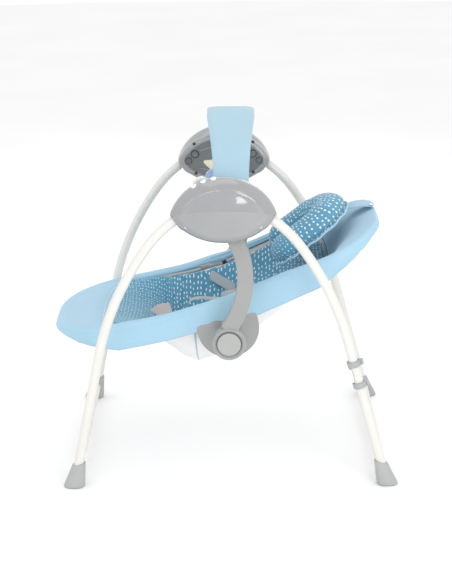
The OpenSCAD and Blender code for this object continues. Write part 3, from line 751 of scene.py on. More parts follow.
for side, word in ((-1, "left"), (1, "right")):
    shell = hubShell(side, word + "HubShell")
    for mirrorX in (1, -1):
        cut(shell, prism([(x * mirrorX, z) for x, z in legSlot], 255, 299, side))
    cut(shell, prism(armSlot, 255, 286, side))
    if side < 0:
        nothingSelected()
        bpy.ops.mesh.primitive_cylinder_add(vertices=64, radius=21.5 * mm, depth=28 * mm, rotation=(math.pi / 2, 0, 0),
                                            location=hubPoint(-1, -46, 268, 53))
        dialHole = bpy.context.object
        settle(dialHole)
        cut(shell, dialHole)
    smoothShade(shell, 38)
    dress(shell, shellGloss, "hubs", "hub_gloss", word + "_hub_cover")
    panel = hubPanel(side, word + "HubPanel")
    dress(panel, panelMatte, "hubs", "hub_matte", "battery_door" if side < 0 else "trim_panel")
    for x in (-79, 79):
        dress(crossScrew("panelScrew" + word.title() + ("Front" if x < 0 else "Rear"),
                hubPoint(side, x * shellShape["wide"], shellY(x, -30) + 1.3, -30), 3.6, side),
              screwSteel, "hubs", "steel", "panel_screws")

# Inner covers

def drilled(obj, side, holes, y=250):  # round holes through the seat side of a hub
    for x, z, radius in holes:
        nothingSelected()
        bpy.ops.mesh.primitive_cylinder_add(vertices=40, radius=radius * mm, depth=16 * mm,
                rotation=(math.pi / 2, 0, 0),
                                            location=hubPoint(side, x, y, z))
        hole = bpy.context.object
        settle(hole)
        cut(obj, hole)


def ringPiece(name, centre, major, minor, sides=40):
    nothingSelected()
    bpy.ops.mesh.primitive_torus_add(major_segments=sides, minor_segments=12, major_radius=major * mm,
            minor_radius=minor * mm,
                                     location=centre, rotation=(math.pi / 2, 0, 0))
    ring = bpy.context.object
    ring.name = name
    settle(ring)
    smoothShade(ring)
    return ring


for side, word in ((-1, "left"), (1, "right")):
    cover = innerShell(side, word + "InnerCover")
    cut(cover, prism(armSlot, 255, 270, side))
    drilled(cover, side, [(0, 0, 6.6), (-72, 10, 8.8), (72, 10, 8.8), (-88, -7, 7.2), (88, -7, 7.2), (18, 22, 6.0)])
    smoothShade(cover, 40)
    dress(cover, shellGloss, "hubs", "hub_gloss", word + "_inner_cover")
    rows = []
    for k in range(15):
        share = 1 - (1 - k / 14) ** 2
        rows.append([hubRing(side, angle, max(share, 0.03), 248.4 - 0.5 * share, (hubTaper(angle) + 17.5) * share)
                     for angle in (3 * j for j in range(120))])
    plate = skinPiece(word + "InnerPlate", rows, closeRound=True)
    crown = meshPiece("crown", rows[0], [tuple(range(120))])
    joined(word + "InnerPlate", [plate, crown])
    cleanMesh(plate, 0.00002)
    faceOutward(plate, hubPoint(side, 0, 262, 0))
    modify(plate, "SOLIDIFY", thickness=0.0007, offset=-1)
    drilled(plate, side, [(0, 0, 10.5), (-72, 10, 9.2), (72, 10, 9.2), (18, 22, 6.5)], 248)
    smoothShade(plate, 35)
    dress(plate, shellDark, "hubs", "hub_matte")
    for part, high in (("Upper", 30), ("Lower", -32)):  # raised ribs across the recess
        path = [hubPoint(side, x, 248.0, high - (0.0036 if high > 0 else -0.0014) * x * x) for x in range(-60, 61, 4)]
        dress(cordPiece(word + part + "Rib", path, 0.0011, 8), shellGloss, "hubs", "hub_gloss")
    # painted shade: each screw hole is a black disc with a black rim ring standing in for the shade inside the hole
    for i, (x, z) in enumerate([(-74, 36), (73, 40), (-70, -39), (73, -37)]):
        pit = rod("pit", hubPoint(side, x, 247.9, z), 0.0030, 0.0026)
        hole = joined(word + "CoverScrewHole" + str(i + 1),
                [ringPiece("rim", hubPoint(side, x, 246.9, z), 3.2, 0.7, 28), pit])
        dress(hole, blackPlastic, "hubs", "hub_matte")
    # painted shade: thin black rings at the rims of the pin and fold-button holes stand in for the shade in the gap
    # around each
    for x in (-88, 88):
        dress(ringPiece(word + "PinRing" + ("Front" if x < 0 else "Rear"), hubPoint(side, x, 246.3, -7), 7.0,
                1.3), blackPlastic, "hubs", "hub_matte")
    for x in (-72, 72):
        dress(ringPiece(word + "FoldRing" + ("Front" if x < 0 else "Rear"), hubPoint(side, x, 247.6, 10), 9.0,
                1.1), blackPlastic, "hubs", "hub_matte")
for node in ("front_left", "front_right", "rear_left", "rear_right"):
    name = node + "_fold_button"
    dress(refined(name, node.replace("_", " ").title().replace(" ", "") + "FoldButton", 0.0016, 4), shellDark,
            name, "dark_plastic", name)
dress(refined("leg_pins", "legPins", 0.0008, 3), shellDark, "hubs", "steel", "leg_pins")
dress(refined("pivot_shafts", "pivotShafts", 0.0006, 2), screwSteel, "hubs", "steel", "pivot_shafts")
dress(refined("speed_dial", "speedDial", 0.0045, 6), dialPearl, "speed_dial", "dial_plastic", "speed_dial")
for word in ("power", "timer", "music"):
    dress(refined(word + "_button", word + "Button", 0.0018, 4), pearlWhite, word + "_button", "white_plastic",
            word + "_button")
print("hubs are made")


# Leg frames

legShape = {"slope": 37.4, "root": 35, "kneeRadius": 270, "kneeTurn": 16.5, "shinRadius": 668, "endZ": 22,
            "turn": {-1: 24.5, 1: 20.9}}


def legPlan(end):  # the leg's turning points, from its pin, and its slope at the foot
    slope, turn = legShape["slope"], legShape["turn"][end]
    kneeStart = Vector(polar(legShape["root"], -slope))
    kneeCentre = kneeStart + Vector(polar(legShape["kneeRadius"], -slope - 90))
    shinStart = kneeCentre + Vector(polar(legShape["kneeRadius"], 90 - slope - legShape["kneeTurn"]))
    shinCentre = shinStart + Vector(polar(legShape["shinRadius"], -slope - legShape["kneeTurn"] - 90))
    last = slope + legShape["kneeTurn"] + turn
    shank = shinCentre + Vector(polar(legShape["shinRadius"], 90 - last))
    return kneeCentre, shinCentre, shank, last


def legPoint(end, side, p):
    return Vector(((hubX + end * (pinX + p[0])) * mm, side * legY * mm, (hubZ - pinDrop + p[1]) * mm))


def shankAt(end, z):  # the leg's centre line at a height above the floor, low on the leg
    shank, slope = legPlan(end)[2:]
    return (shank[0] + (shank[1] + hubZ - pinDrop - z) / math.tan(math.radians(slope)), z - hubZ + pinDrop)


def legTube(end, side, name):
    knee, shin, shank, last = legPlan(end)
    slope = math.radians(legShape["slope"])
    along = Vector((end * math.cos(slope), 0, -math.sin(slope)))
    nothingSelected()
    bpy.ops.mesh.primitive_circle_add(vertices=36, radius=legRadius * mm, fill_type="NOTHING",
            location=legPoint(end, side, (-4, 3)),
                                      rotation=(0, math.atan2(along.x, along.z), 0))
    obj = bpy.context.object
    obj.name = name
    bpy.ops.object.transform_apply(location=True, rotation=True, scale=True)
    bpy.ops.object.mode_set(mode="EDIT")
    bpy.ops.mesh.select_all(action="SELECT")
    bpy.ops.mesh.extrude_region_move(TRANSFORM_OT_translate={"value": along * (legShape["root"] + 5) * mm})
    bpy.ops.mesh.spin(steps=14, angle=-math.radians(legShape["kneeTurn"]) * end,
            center=legPoint(end, side, knee), axis=(0, 1, 0))
    bpy.ops.mesh.spin(steps=22, angle=-math.radians(legShape["turn"][end]) * end,
            center=legPoint(end, side, shin), axis=(0, 1, 0))
    foot = legPoint(end, side, shankAt(end, legShape["endZ"]))
    bpy.ops.mesh.extrude_region_move(TRANSFORM_OT_translate={"value": foot - legPoint(end, side, shank)})
    bpy.ops.mesh.select_all(action="SELECT")
    bpy.ops.mesh.remove_doubles(threshold=0.00001)
    bpy.ops.mesh.fill_holes(sides=0)
    bpy.ops.mesh.normals_make_consistent(inside=False)
    bpy.ops.object.mode_set(mode="OBJECT")
    smoothShade(obj, 40)
    return obj


bootShape = {"height": 56,
        "rings": [(0, 0.86), (0.7, 0.93), (2.2, 0.975), (5, 1.0), (12, 1.0), (26, 0.965), (40, 0.92),
                (50, 0.885), (54, 0.868), (55.6, 0.83), (56, 0.78)]}


def boot(end, side, name):
    slope = legPlan(end)[3]
    base = shankAt(end, 0)[0] + 1
    top = shankAt(end, bootShape["height"])[0]
    rows = []
    for z, size in bootShape["rings"]:
        t = z / bootShape["height"]
        centre = base + (top - base) * t
        halfLong = (26 + (16.5 - 26) * t ** 0.8) * (size if z > 12 else size) / max(1 - 0.12 * t, 0.1)
        halfWide = (19 + (15.5 - 19) * t) * size / max(1 - 0.12 * t, 0.1)
        row = []
        for k in range(56):
            angle = 2 * math.pi * k / 56
            c, s = math.cos(angle), math.sin(angle)
            x = centre + halfLong * math.copysign(abs(c) ** 0.85, c) * (1.0 if c > 0 else 0.94)
            lean = -(x - centre) * t * math.tan(math.radians(90 - slope)) * 1.0
            row.append(legPoint(end, side,
                    (x, z + lean - hubZ + pinDrop)) + Vector((0, halfWide * math.copysign(abs(s) ** 0.9, s) * mm, 0)))
        rows.append(row)
    bore = []
    for z, size in ((56.2, 12.6), (55.4, 11.7), (40, 11.4)):
        centre = shankAt(end, z)[0]
        row = []
        for k in range(56):
            angle = 2 * math.pi * k / 56
            x = centre + size * math.cos(angle)
            row.append(legPoint(end, side, (x, z - (x - centre) * math.tan(math.radians(90 - slope)) - hubZ + pinDrop))
                       + Vector((0, size * math.sin(angle) * mm, 0)))
        bore.append(row)
    obj = skinPiece(name, rows + bore, closeRound=True, caps=True)
    cleanMesh(obj)
    smoothShade(obj, 42)
    return obj


for end, endWord in ((-1, "front"), (1, "rear")):
    for side, word in ((-1, "left"), (1, "right")):
        title = endWord + word.title()
        dress(legTube(end, side, title + "Leg"), creamTube, endWord + "_frame", "tube_paint", f"{endWord}_{word}_leg")
        dress(boot(end, side, title + "Boot"), bootGrey, endWord + "_frame", "foot_plastic", f"{endWord}_{word}_foot")
    dress(refined(endWord + "_crossbar", endWord + "Crossbar", 0), creamTube, endWord + "_frame", "tube_paint",
            endWord + "_crossbar")
print("leg frames are made")


# Swing arms and seat brackets

for side, word in ((-1, "left"), (1, "right")):
    dress(refined(word + "_arm", word + "SwingArm", 0.0042, 5, 40), armGrey, "swing_arms", "arm_plastic", word + "_arm")
    # the second, thin black torus is painted shade in the gap between the recline cap and the glossy ring lip
    for radius, thick, name, finish in ((33.5, 2.4, "ArmRingLip", ringGloss), (28.2, 0.7, "ArmCapGap", blackPlastic)):
        nothingSelected()
        bpy.ops.mesh.primitive_torus_add(major_segments=96, minor_segments=16, major_radius=radius * mm,
                minor_radius=thick * mm,
                                         location=(0.017, side * (0.282 if name == "ArmRingLip" else 0.2815),
                                                 0.340), rotation=(math.pi / 2, 0, 0))
        lip = bpy.context.object
        lip.name = word + name
        settle(lip)
        smoothShade(lip)
        dress(lip, finish, "swing_arms", "arm_plastic")
    button = word + "_recline_button"
    dress(refined(button, word + "ReclineCap", 0.003, 5), capGrey, button, "hub_matte", button)
    dress(refined(word + "_seat_bracket", word + "SeatBracket", 0.0045, 5, 40), ringGloss, "seat", "hub_gloss",
            word + "_seat_bracket")
for node, name, finish, slot in (("pivot_bushes", "pivotBushes", pearlWhite, "white_plastic"),
        ("recline_shafts", "reclineShafts", screwSteel, "steel"),
                                 ("drive_magnet", "driveMagnet", screwSteel, "steel")):
    dress(refined(node, name, 0.0003, 2), finish, "swing_arms", slot, node)
print("swing arms are made")


# Seat fabric: shared measures and shapes

seat = {"hipZ": 396, "legTilt": 11, "backTilt": 24.5, "legReach": 397, "backReach": 386, "halfWide": 190, "corner": 150,
        "well": 166, "wellX": -50, "deck": 0.24, "headDeck": 0.25}


def rimStations(perCorner, perSide):  # round the tubes: distance from the hip, across, outward angle, end
    def half(end, reach):
        r, w = seat["corner"], seat["halfWide"] - seat["corner"]
        straight = reach - r
        made = [(straight * i / perSide, -end * seat["halfWide"], -90 * end, end) for i in range(perSide)]
        for i in range(perCorner + 1):
            a = -90 + 90 * i / perCorner
            made.append((straight + r * math.cos(math.radians(a)), end * (r * math.sin(math.radians(a)) - w),
                    end * a, end))
        tip = max(int(2 * w / 8), 2)
        for i in range(1, tip):
            made.append((reach, end * (-w + 2 * w * i / tip), 0.0, end))
        for i in range(perCorner + 1):
            a = 90 * i / perCorner
            made.append((straight + r * math.cos(math.radians(a)), end * (r * math.sin(math.radians(a)) + w),
                    end * a, end))
        made += [(straight * i / perSide, end * seat["halfWide"], end * 90, end) for i in range(perSide - 1, 0, -1)]
        return made
    return half(1, seat["backReach"]) + half(-1, seat["legReach"])


def seatSag(x, y):
    t = (x - seat["wellX"]) / ((-seat["legReach"] if x < seat["wellX"] else seat["backReach"]) - seat["wellX"])
    t = min(max(t, 0), 1)
    lengthways = math.cos(math.pi / 2 * t) ** 7 + 0.15 * math.sin(math.pi * t) ** 2 if x < seat["wellX"] else 1 - t ** 1.3
    return seat["well"] * lengthways * (1 - min(abs(y) / seat["halfWide"], 1) ** 2.6)


def tilts(end):
    return math.radians(-seat["legTilt"] if end < 0 else seat["backTilt"])


def deckCut(station):  # the light decks keep the padded well off the leg end and the head end
    turned = max(math.cos(math.radians(station[2])), 0)
    return seat["deck"] * turned if station[3] < 0 else seat["headDeck"] * turned


def hipRise(x):  # the cover stands higher over the hip and along the back
    return 14 * math.exp(-((x - 2) / 82) ** 2) + 9 * math.exp(-((x - 130) / 70) ** 2)


# A point at a share of the way out to the tubes, moved outward and up.
def seatPoint(station, share, out=0.0, up=0.0, flatness=1.0):
    u, across, angle, end = station
    turn = math.radians(angle)
    far = u * share + out * math.cos(turn)
    tilt = tilts(end)
    if abs(angle) > 70 and share < 0.99:  # the sides of the seat are drawn up with the cover
        up += hipRise(end * u * share) * max(0, (share - 0.7) / 0.3) ** 1.5
    sink = seatSag(end * u * share, across * share) * flatness
    return Vector(((hubX + end * far * math.cos(tilt)) * mm, (across * share + out * math.sin(turn)) * mm,
                   (seat["hipZ"] + far * math.sin(tilt) + up - sink * (1 - min(share, 1) ** 20)) * mm))


def rimLength(stations):  # running length round the tubes, for cloth patterns
    total, made = 0.0, [0.0]
    for i in range(1, len(stations) + 1):
        a, b = seatPoint(stations[i - 1], 1), seatPoint(stations[i % len(stations)], 1)
        total += math.dist((a.x, a.y), (b.x, b.y))
        made.append(total)
    return made


def clothMap(obj, values):  # the cloth's own coordinates, one per point
    layer = obj.data.attributes.new("cloth", "FLOAT_VECTOR", "POINT")
    layer.data.foreach_set("vector", [c for v in values for c in v])


def seatCloth(point):  # cloth coordinates of a place in the seat: along it, and across its slope
    x = (point.x / mm - hubX)
    end = 1 if x > 0 else -1
    reach = x / math.cos(tilts(end))
    y = abs(point.y / mm)
    across, last = 0.0, seatSag(reach, 0.0)
    for k in range(1, 9):
        here = seatSag(reach, y * k / 8)
        across += math.hypot(y / 8, here - last)
        last = here
    along, last = 0.0, seatSag(0.0, y * 0.5)
    for k in range(1, 13):
        here = seatSag(reach * k / 12, y * 0.5)
        along += math.hypot(reach / 12, here - last)
        last = here
    return (math.copysign(along, x) * mm, math.copysign(across, point.y) * mm, 0.0)


stations = rimStations(18, 22)
rim = rimLength(stations)


# Seat cover

coverShape = {"hook": 12.0, "skirt": 49, "tip": 9, "thickness": 1.5, "wrinkle": 1.3, "inner": 0.952}


def coverProfile(station):  # share, out, up and place across the cloth, from the hem to the inner edge
    u, across, angle, end = station
    x = end * u * math.cos(tilts(end))
    rimZ = seat["hipZ"] + u * math.sin(tilts(end))
    deeper = (coverShape["skirt"] - coverShape["tip"]) * (abs(angle) / 90) ** 1.7
    shorterByHip = 8 * math.exp(-((x + 45) / 60) ** 2)
    skirt = coverShape["tip"] + deeper - shorterByHip
    away = abs(x - 10)
    if away < 62 and abs(angle) > 80:  # raised over the seat bracket
        arch = 300 + math.sqrt(62 * 62 - away * away)
        rise = max(0, arch - (rimZ - skirt))
        skirt -= 0.5 * (rise + math.sqrt(rise * rise + 16)) if rise > -8 else 0
    hook = coverShape["hook"]
    lift = hipRise(x) if abs(angle) > 70 else hipRise(x) * max(0, abs(angle) - 50) / 20
    tuck = 14 * (1 - abs(angle) / 90)  # the ends round under
    points = []
    for k in range(13):
        t = k / 12
        points.append((1, hook - (3.2 + tuck) * (1 - t) ** 2 + 2.2 * math.sin(math.pi * t),
                -skirt * (1 - t) + lift * t * t, skirt * t))
    run = skirt
    inner = coverShape["inner"] - deckCut(station)
    turned = max(math.cos(math.radians(angle)), 0)
    last = 178 - 84 * min(turned * 1.6, 1)  # a deck leaves the tube from its top, a side folds right over it
    for k in range(1, 13):
        a = math.radians(last * k / 12)
        run += hook * math.radians(last / 12)
        points.append((1, hook * math.cos(a), hook * math.sin(a) + lift, run))
    fromOut, fromUp = points[-1][1], points[-1][2]
    for k in range(1, 19):
        t = k / 18
        share = 1 + (inner - 1) * t
        sagFree = seatSag(end * u * share, across * share)
        flat = min(turned * 1.5, 1)
        ease = t * t * (3 - 2 * t)
        target = 7.0
        up = fromUp * (1 - ease) + target * ease
        up += flat * sagFree * (1 - t ** 4) * (1 - min(share, 1) ** 20)
        points.append((share, fromOut * (1 - t), up, run + (1 - share) * (u + 60)))
    return points


def wrinkles(place, seed, long=22.0, fine=60.0):
    return noise.noise(place * long + Vector((seed, 0, 0))) + 0.45 * noise.noise(place * fine + Vector((0, seed, 0)))


rows, cloth = [], []
for i, station in enumerate(stations):
    row = []
    tilt = tilts(station[3])
    outward = Vector((station[3] * math.cos(math.radians(station[2])), math.sin(math.radians(station[2])), 0))
    for j, (share, out, up, along) in enumerate(coverProfile(station)):
        place = seatPoint(station, share, out, up)
        u, across, angle, end = station
        s = rim[i]
        onSkirt = j < 18
        depth = max(0, 1 - j / 13)
        push = coverShape["wrinkle"] * wrinkles(place, 3.0, 13.0, 34.0) * (0.5 + depth)
        # shallow drag folds where the band turns the corners, and near the hip
        corner = max(0, math.cos(math.radians((abs(angle) - 45) * 2))) if abs(angle) < 88 else 0
        push += 1.5 * corner * math.sin(s * 150 + 2.2 * math.sin(s * 19) + j * 0.16) * depth * (0.6 + 0.4 * math.sin(s * 31))
        nearHip = math.exp(-((u - 45) / 50) ** 2)
        push += 1.2 * nearHip * math.sin(s * 190 + j * 0.35) * depth
        headward = 1.0 if end > 0 and abs(angle) < 60 else 0.0
        push += 1.6 * headward * depth * math.sin(s * 95 + j * 0.22)
        if onSkirt:
            place = place + outward * min(max(push, -2.4), 2.6) * mm
        else:
            place = place + Vector((0, 0, 0.9 * mm * wrinkles(place, 8.0, 20.0, 46.0)))
        row.append(place)
        cloth.append((s, along * mm, 0.0))
    rows.append(row)
cover = skinPiece("seatCoverBand", rows, closeRows=True)
clothMap(cover, cloth)
useOnly(cover)
bpy.ops.object.mode_set(mode="EDIT")
bpy.ops.mesh.select_all(action="SELECT")
bpy.ops.mesh.normals_make_consistent(inside=False)
bpy.ops.object.mode_set(mode="OBJECT")
modify(cover, "SOLIDIFY", thickness=coverShape["thickness"] * mm, offset=0)
modify(cover, "SUBSURF", levels=1, render_levels=1)
smoothShade(cover)
dress(cover, coverCloth, "seat", "outer_fabric", "seat_cover")
bandArea = sum(p.area for p in cover.data.polygons) / 2
print("seat cover area", round(bandArea, 4))

# The hem: a doubled fold along the lower edge.
hemPath = [row[0] for row in rows]
hem = cordPiece("seatCoverHem", hemPath, 0.0014, 8, closed=True, flat=1.0)
clothMap(hem, [(v.co.x, v.co.z * 0.2, 0) for v in hem.data.vertices])
dress(hem, sleeveCloth, "seat", "outer_fabric")


def deckPlace(station, beyond):  # a place on the cover's inner flange, a little out from its edge
    profile = coverProfile(station)[-18:]
    wanted = coverShape["inner"] - deckCut(station) + beyond
    for first, second in zip(profile, profile[1:]):
        if second[0] <= wanted <= first[0]:
            t = (first[0] - wanted) / max(first[0] - second[0], 0.00001)
            return seatPoint(station, wanted, first[1] + (second[1] - first[1]) * t,
                    first[2] + (second[2] - first[2]) * t + 1.0)
    return seatPoint(station, wanted, 0, 8)


# Piping round the inner edge of the band, where the padded liner is zipped in.
pipePath = [seatPoint(station, coverShape["inner"] + 0.004 - deckCut(station), 0, 7.6) for station in stations]
piping = cordPiece("innerPiping", pipePath, 0.0021, 10, closed=True)
clothMap(piping, [(v.co.x + v.co.y, v.co.z, 0) for v in piping.data.vertices])
dress(piping, pipingCloth, "seat", "outer_fabric")
for k, offset in enumerate((0.012, 0.030)):  # the double row of stitches on the deck
    row = []
    for station in stations:
        if station[3] < 0 and abs(station[2]) < 62:
            row.append(deckPlace(station, offset))
    row.sort(key=lambda p: p.y)
    stitch = cordPiece("deckStitch" + str(k + 1), row, 0.0005, 6)
    clothMap(stitch, [(v.co.y, v.co.x, 0) for v in stitch.data.vertices])
    dress(stitch, pouchCloth, "seat", "white_fabric")
print("seat cover is made")


# Sling under the seat

def seatSheet(name, reach, decked, up, ringCount, flatness=1.0):
    points, faces, count = [], [], len(stations)
    for k in range(1, ringCount + 1):
        for station in stations:
            share = (reach - (deckCut(station) if decked else 0)) * (k / ringCount) ** 0.9
            points.append(seatPoint(station, share, 0, up, flatness))
    points.append(seatPoint(stations[0], 0, 0, up, flatness))
    middle = len(points) - 1
    for i in range(count):
        faces.append((middle, i, (i + 1) % count))
    for k in range(ringCount - 1):
        for i in range(count):
            j = (i + 1) % count
            faces.append((k * count + i, (k + 1) * count + i, (k + 1) * count + j, k * count + j))
    return meshPiece(name, points, faces)


sling = seatSheet("bellySling", 0.945, False, 1.0, 22)
for vertex in sling.data.vertices:
    place = vertex.co
    x, y = place.x / mm - hubX, place.y / mm
    deep = seatSag(x, y) / seat["well"]
    fold = math.sin(x * 0.16 + 5 * noise.noise(place * 9)) * 1.6 * deep + 2.6 * deep * noise.noise(place * 26)
    place.z += (fold - 2.4 * deep) * mm
cleanMesh(sling, 0.00005)
clothMap(sling, [seatCloth(v.co) for v in sling.data.vertices])
modify(sling, "SOLIDIFY", thickness=0.0012, offset=0)
smoothShade(sling)
dress(sling, pouchCloth, "seat", "white_fabric", "seat_sling")
slingArea = sum(p.area for p in sling.data.polygons) / 2
print("sling area", round(slingArea, 4))
for k, at in enumerate((-62, 64)):  # two piped seams across the belly
    seam = []
    for i in range(61):
        y = -168 + 336 * i / 60
        x = at + 8 * (abs(y) / 168) ** 2 * (1 if at > 0 else -1)
        seam.append(Vector(((hubX + x) * mm, y * mm,
                (seat["hipZ"] + abs(x) * math.tan(tilts(1 if x > 0 else -1)) - seatSag(x, y) - 1.8) * mm)))
    pipe = cordPiece("bellyPiping" + str(k + 1), seam, 0.0017, 8)
    clothMap(pipe, [(v.co.y, v.co.z, 0) for v in pipe.data.vertices])
    dress(pipe, flapCloth, "seat", "outer_fabric")
print("sling is made")


# Padded pieces

# Swells a closed shape like a stuffed pad: remesh, cloth pressure, a cap on the movement.
def swell(obj, voxel, cap, pressure=4.0, frames=20, tension=12.0, rests=False):
    modify(obj, "REMESH", mode="VOXEL", voxel_size=voxel, use_smooth_shade=True)
    start = [v.co.copy() for v in obj.data.vertices]
    under = [rests and v.normal.z < 0.05 for v in obj.data.vertices]  # lies on the piece below it
    useOnly(obj)
    cloth = obj.modifiers.new("Cloth", "CLOTH")
    cloth.settings.use_pressure = True
    cloth.settings.uniform_pressure_force = pressure
    cloth.settings.effector_weights.gravity = 0
    cloth.settings.tension_stiffness = tension
    cloth.settings.compression_stiffness = tension
    cloth.settings.quality = 4
    cloth.collision_settings.use_collision = False
    cloth.point_cache.frame_start, cloth.point_cache.frame_end = 1, frames
    for number in range(1, frames + 1):
        bpy.context.scene.frame_set(number)
    bpy.ops.object.modifier_apply(modifier="Cloth")
    bpy.context.scene.frame_set(1)
    for vertex, first, held in zip(obj.data.vertices, start, under):
        moved = vertex.co - first
        vertex.co = first + moved * (0.0 if held else min(cap / max(moved.length, 0.000001), 1))
    return obj


padShape = {"reach": 0.944, "low": 3.5, "thick": 13.0, "rings": 18}
liner = seatSheet("seatLinerPad", padShape["reach"], True, padShape["low"], padShape["rings"])
if sum(p.normal.z for p in liner.data.polygons) < 0:
    liner.data.flip_normals()
modify(liner, "SOLIDIFY", thickness=padShape["thick"] * mm, offset=1)
cleanMesh(liner, 0.00005)
swell(liner, 0.005, 0.004, rests=True)
for vertex in liner.data.vertices:  # the pad's channels and tucks
    x, y, z = seatCloth(vertex.co)
    x, y = x / mm, y / mm
    upper = vertex.normal.z > 0.1
    if not upper:
        continue
    sink = 0.0
    for at, depth, width in ((-160, 4.0, 5), (-8, 3.0, 8), (80, 3.2, 8), (150, 2.8, 8)):
        bow = at + 4 * math.sin(y * 0.03 + at)
        sink += depth * math.exp(-((x - bow) / width) ** 2)
    for at, side, deep in ((-176, 1, 5), (-150, 1, 6), (-122, 1, 7), (-62, 1, 5), (-176, -1, 5), (-140, -1, 6),
            (-62, -1, 4)):
        reach = min(max((side * y - 50) / 50, 0), 1)
        sink += deep * reach * math.exp(-((x - at - 0.10 * (side * y - 60)) / 3.2) ** 2)
    sink += 1.5 * noise.noise(vertex.co * 24) + 0.8 * noise.noise(vertex.co * 60)
    vertex.co -= vertex.normal * sink * mm * 0.9
modify(liner, "SUBSURF", levels=1, render_levels=1)
clothMap(liner, [seatCloth(v.co) for v in liner.data.vertices])
smoothShade(liner)
dress(liner, linerCloth, "seat", "liner_fabric", "seat_liner")
print("liner is made", len(liner.data.polygons))

# Head pillow: a thick U roll with its arms towards the seat, leaning on the back.
pillowShape = {"x": 194, "z": 536, "tilt": -36, "ring": 66, "fat": 44, "tall": 33, "arm": 100}
headTurn = Matrix.Translation(((hubX + pillowShape["x"]) * mm, 0,
        pillowShape["z"] * mm)) @ Matrix.Rotation(math.radians(pillowShape["tilt"]), 4, "Y")


def pillowLine(t):  # the middle of the roll, from one arm's tip round the crown to the other's, and how full it is
    ring, arm = pillowShape["ring"], pillowShape["arm"]
    half = arm + ring * math.pi / 2
    run = abs(t) * half
    if run <= ring * math.pi / 2:
        angle = run / ring
        place, normal = (ring * math.cos(angle), ring * math.sin(angle)), (math.cos(angle), math.sin(angle))
    else:
        past = run - ring * math.pi / 2
        lean = 0.10 * past
        place, normal = (-past, ring - lean * 0.6 + 6 * math.sin(past / arm * math.pi)), (0.0, 1.0)
    left = half - run
    full = math.sqrt(max(1 - (1 - min(left / 46, 1)) ** 2, 0.01))
    sign = 1 if t >= 0 else -1
    return Vector((place[0], sign * place[1], 0)), Vector((normal[0], sign * normal[1], 0)), full


rows = []
for k in range(65):
    middle, normal, full = pillowLine(2 * k / 64 - 1)
    row = []
    for j in range(28):
        a = 2 * math.pi * j / 28
        tall = math.sin(a)
        wide = pillowShape["fat"] * math.copysign(abs(math.cos(a)) ** 0.9, math.cos(a)) * full
        high = pillowShape["tall"] * (tall * 1.05 if tall > 0 else tall * 0.62) * full
        row.append(headTurn @ ((middle + normal * wide + Vector((0, 0, high))) * mm))
    rows.append(row)
pillow = skinPiece("headPillowRoll", rows, closeRound=True, caps=True)
cleanMesh(pillow)
swell(pillow, 0.005, 0.004)
toHead = headTurn.inverted()
for vertex in pillow.data.vertices:
    place = toHead @ vertex.co / mm
    angle = math.atan2(place.y, place.x)
    pull = 0.0
    if place.x > 0:
        ringOut = math.hypot(place.x, place.y)
        for k in range(-3, 4):
            pull += 2.4 * math.exp(-((angle - k * 0.5) / 0.05) ** 2) * (1 if ringOut < pillowShape["ring"] - 4 else 0.2)
    pull += 1.6 * noise.noise(vertex.co * 24) + 0.7 * noise.noise(vertex.co * 70)
    vertex.co -= vertex.normal * pull * mm
modify(pillow, "SUBSURF", levels=1, render_levels=1)


def pillowCloth(point):
    place = toHead @ point / mm
    ring = pillowShape["ring"]
    if place.x > 0:
        run, out = math.atan2(place.y, place.x) * (ring + 8), math.hypot(place.x, place.y) - ring
    else:
        run, out = math.copysign(math.pi / 2 * (ring + 8) - place.x, place.y), abs(place.y) - ring
    around = math.atan2(place.z, out)
    return (run * mm, around * pillowShape["fat"] * 0.95 * mm, 0.0)


clothMap(pillow, [pillowCloth(v.co) for v in pillow.data.vertices])
smoothShade(pillow)
dress(pillow, linerCloth, "seat", "liner_fabric", "head_pillow")
# Its flat base, a little wider than the roll, with piping round the edge
outline = []
for k in range(97):
    middle, normal, full = pillowLine(2 * k / 96 - 1)
    outline.append(middle + normal * (pillowShape["fat"] * full + 1.5) + Vector((0, 0, -14 + 1.2 * math.sin(k * 0.9))))
back = [outline[-1] + (outline[0] - outline[-1]) * (k / 12) + Vector((10 * math.sin(math.pi * k / 12), 0,
        0)) for k in range(1, 12)]
outline += back
centre = Vector((-8, 0, -15))
rows = [[headTurn @ ((centre + (p - centre) * (k / 10) + Vector((0, 0,
        4 * math.sin(math.pi * k / 10)))) * mm) for p in outline] for k in range(1, 11)]
pad = skinPiece("headPillowBase", rows, closeRound=True)
crown = meshPiece("crown", rows[0], [tuple(range(len(rows[0])))])
joined("headPillowBase", [pad, crown])
cleanMesh(pad)
modify(pad, "SOLIDIFY", thickness=0.006, offset=0)
clothMap(pad, [seatCloth(v.co) for v in pad.data.vertices])
smoothShade(pad)
dress(pad, linerCloth, "seat", "liner_fabric")
pipe = cordPiece("pillowPiping", [headTurn @ (p * mm) for p in outline], 0.0024, 10, closed=True)
clothMap(pipe, [(v.co.x + v.co.y, v.co.z, 0) for v in pipe.data.vertices])
dress(pipe, coverCloth, "seat", "liner_fabric")
print("head pillow is made")


# Straps, buckle and tag

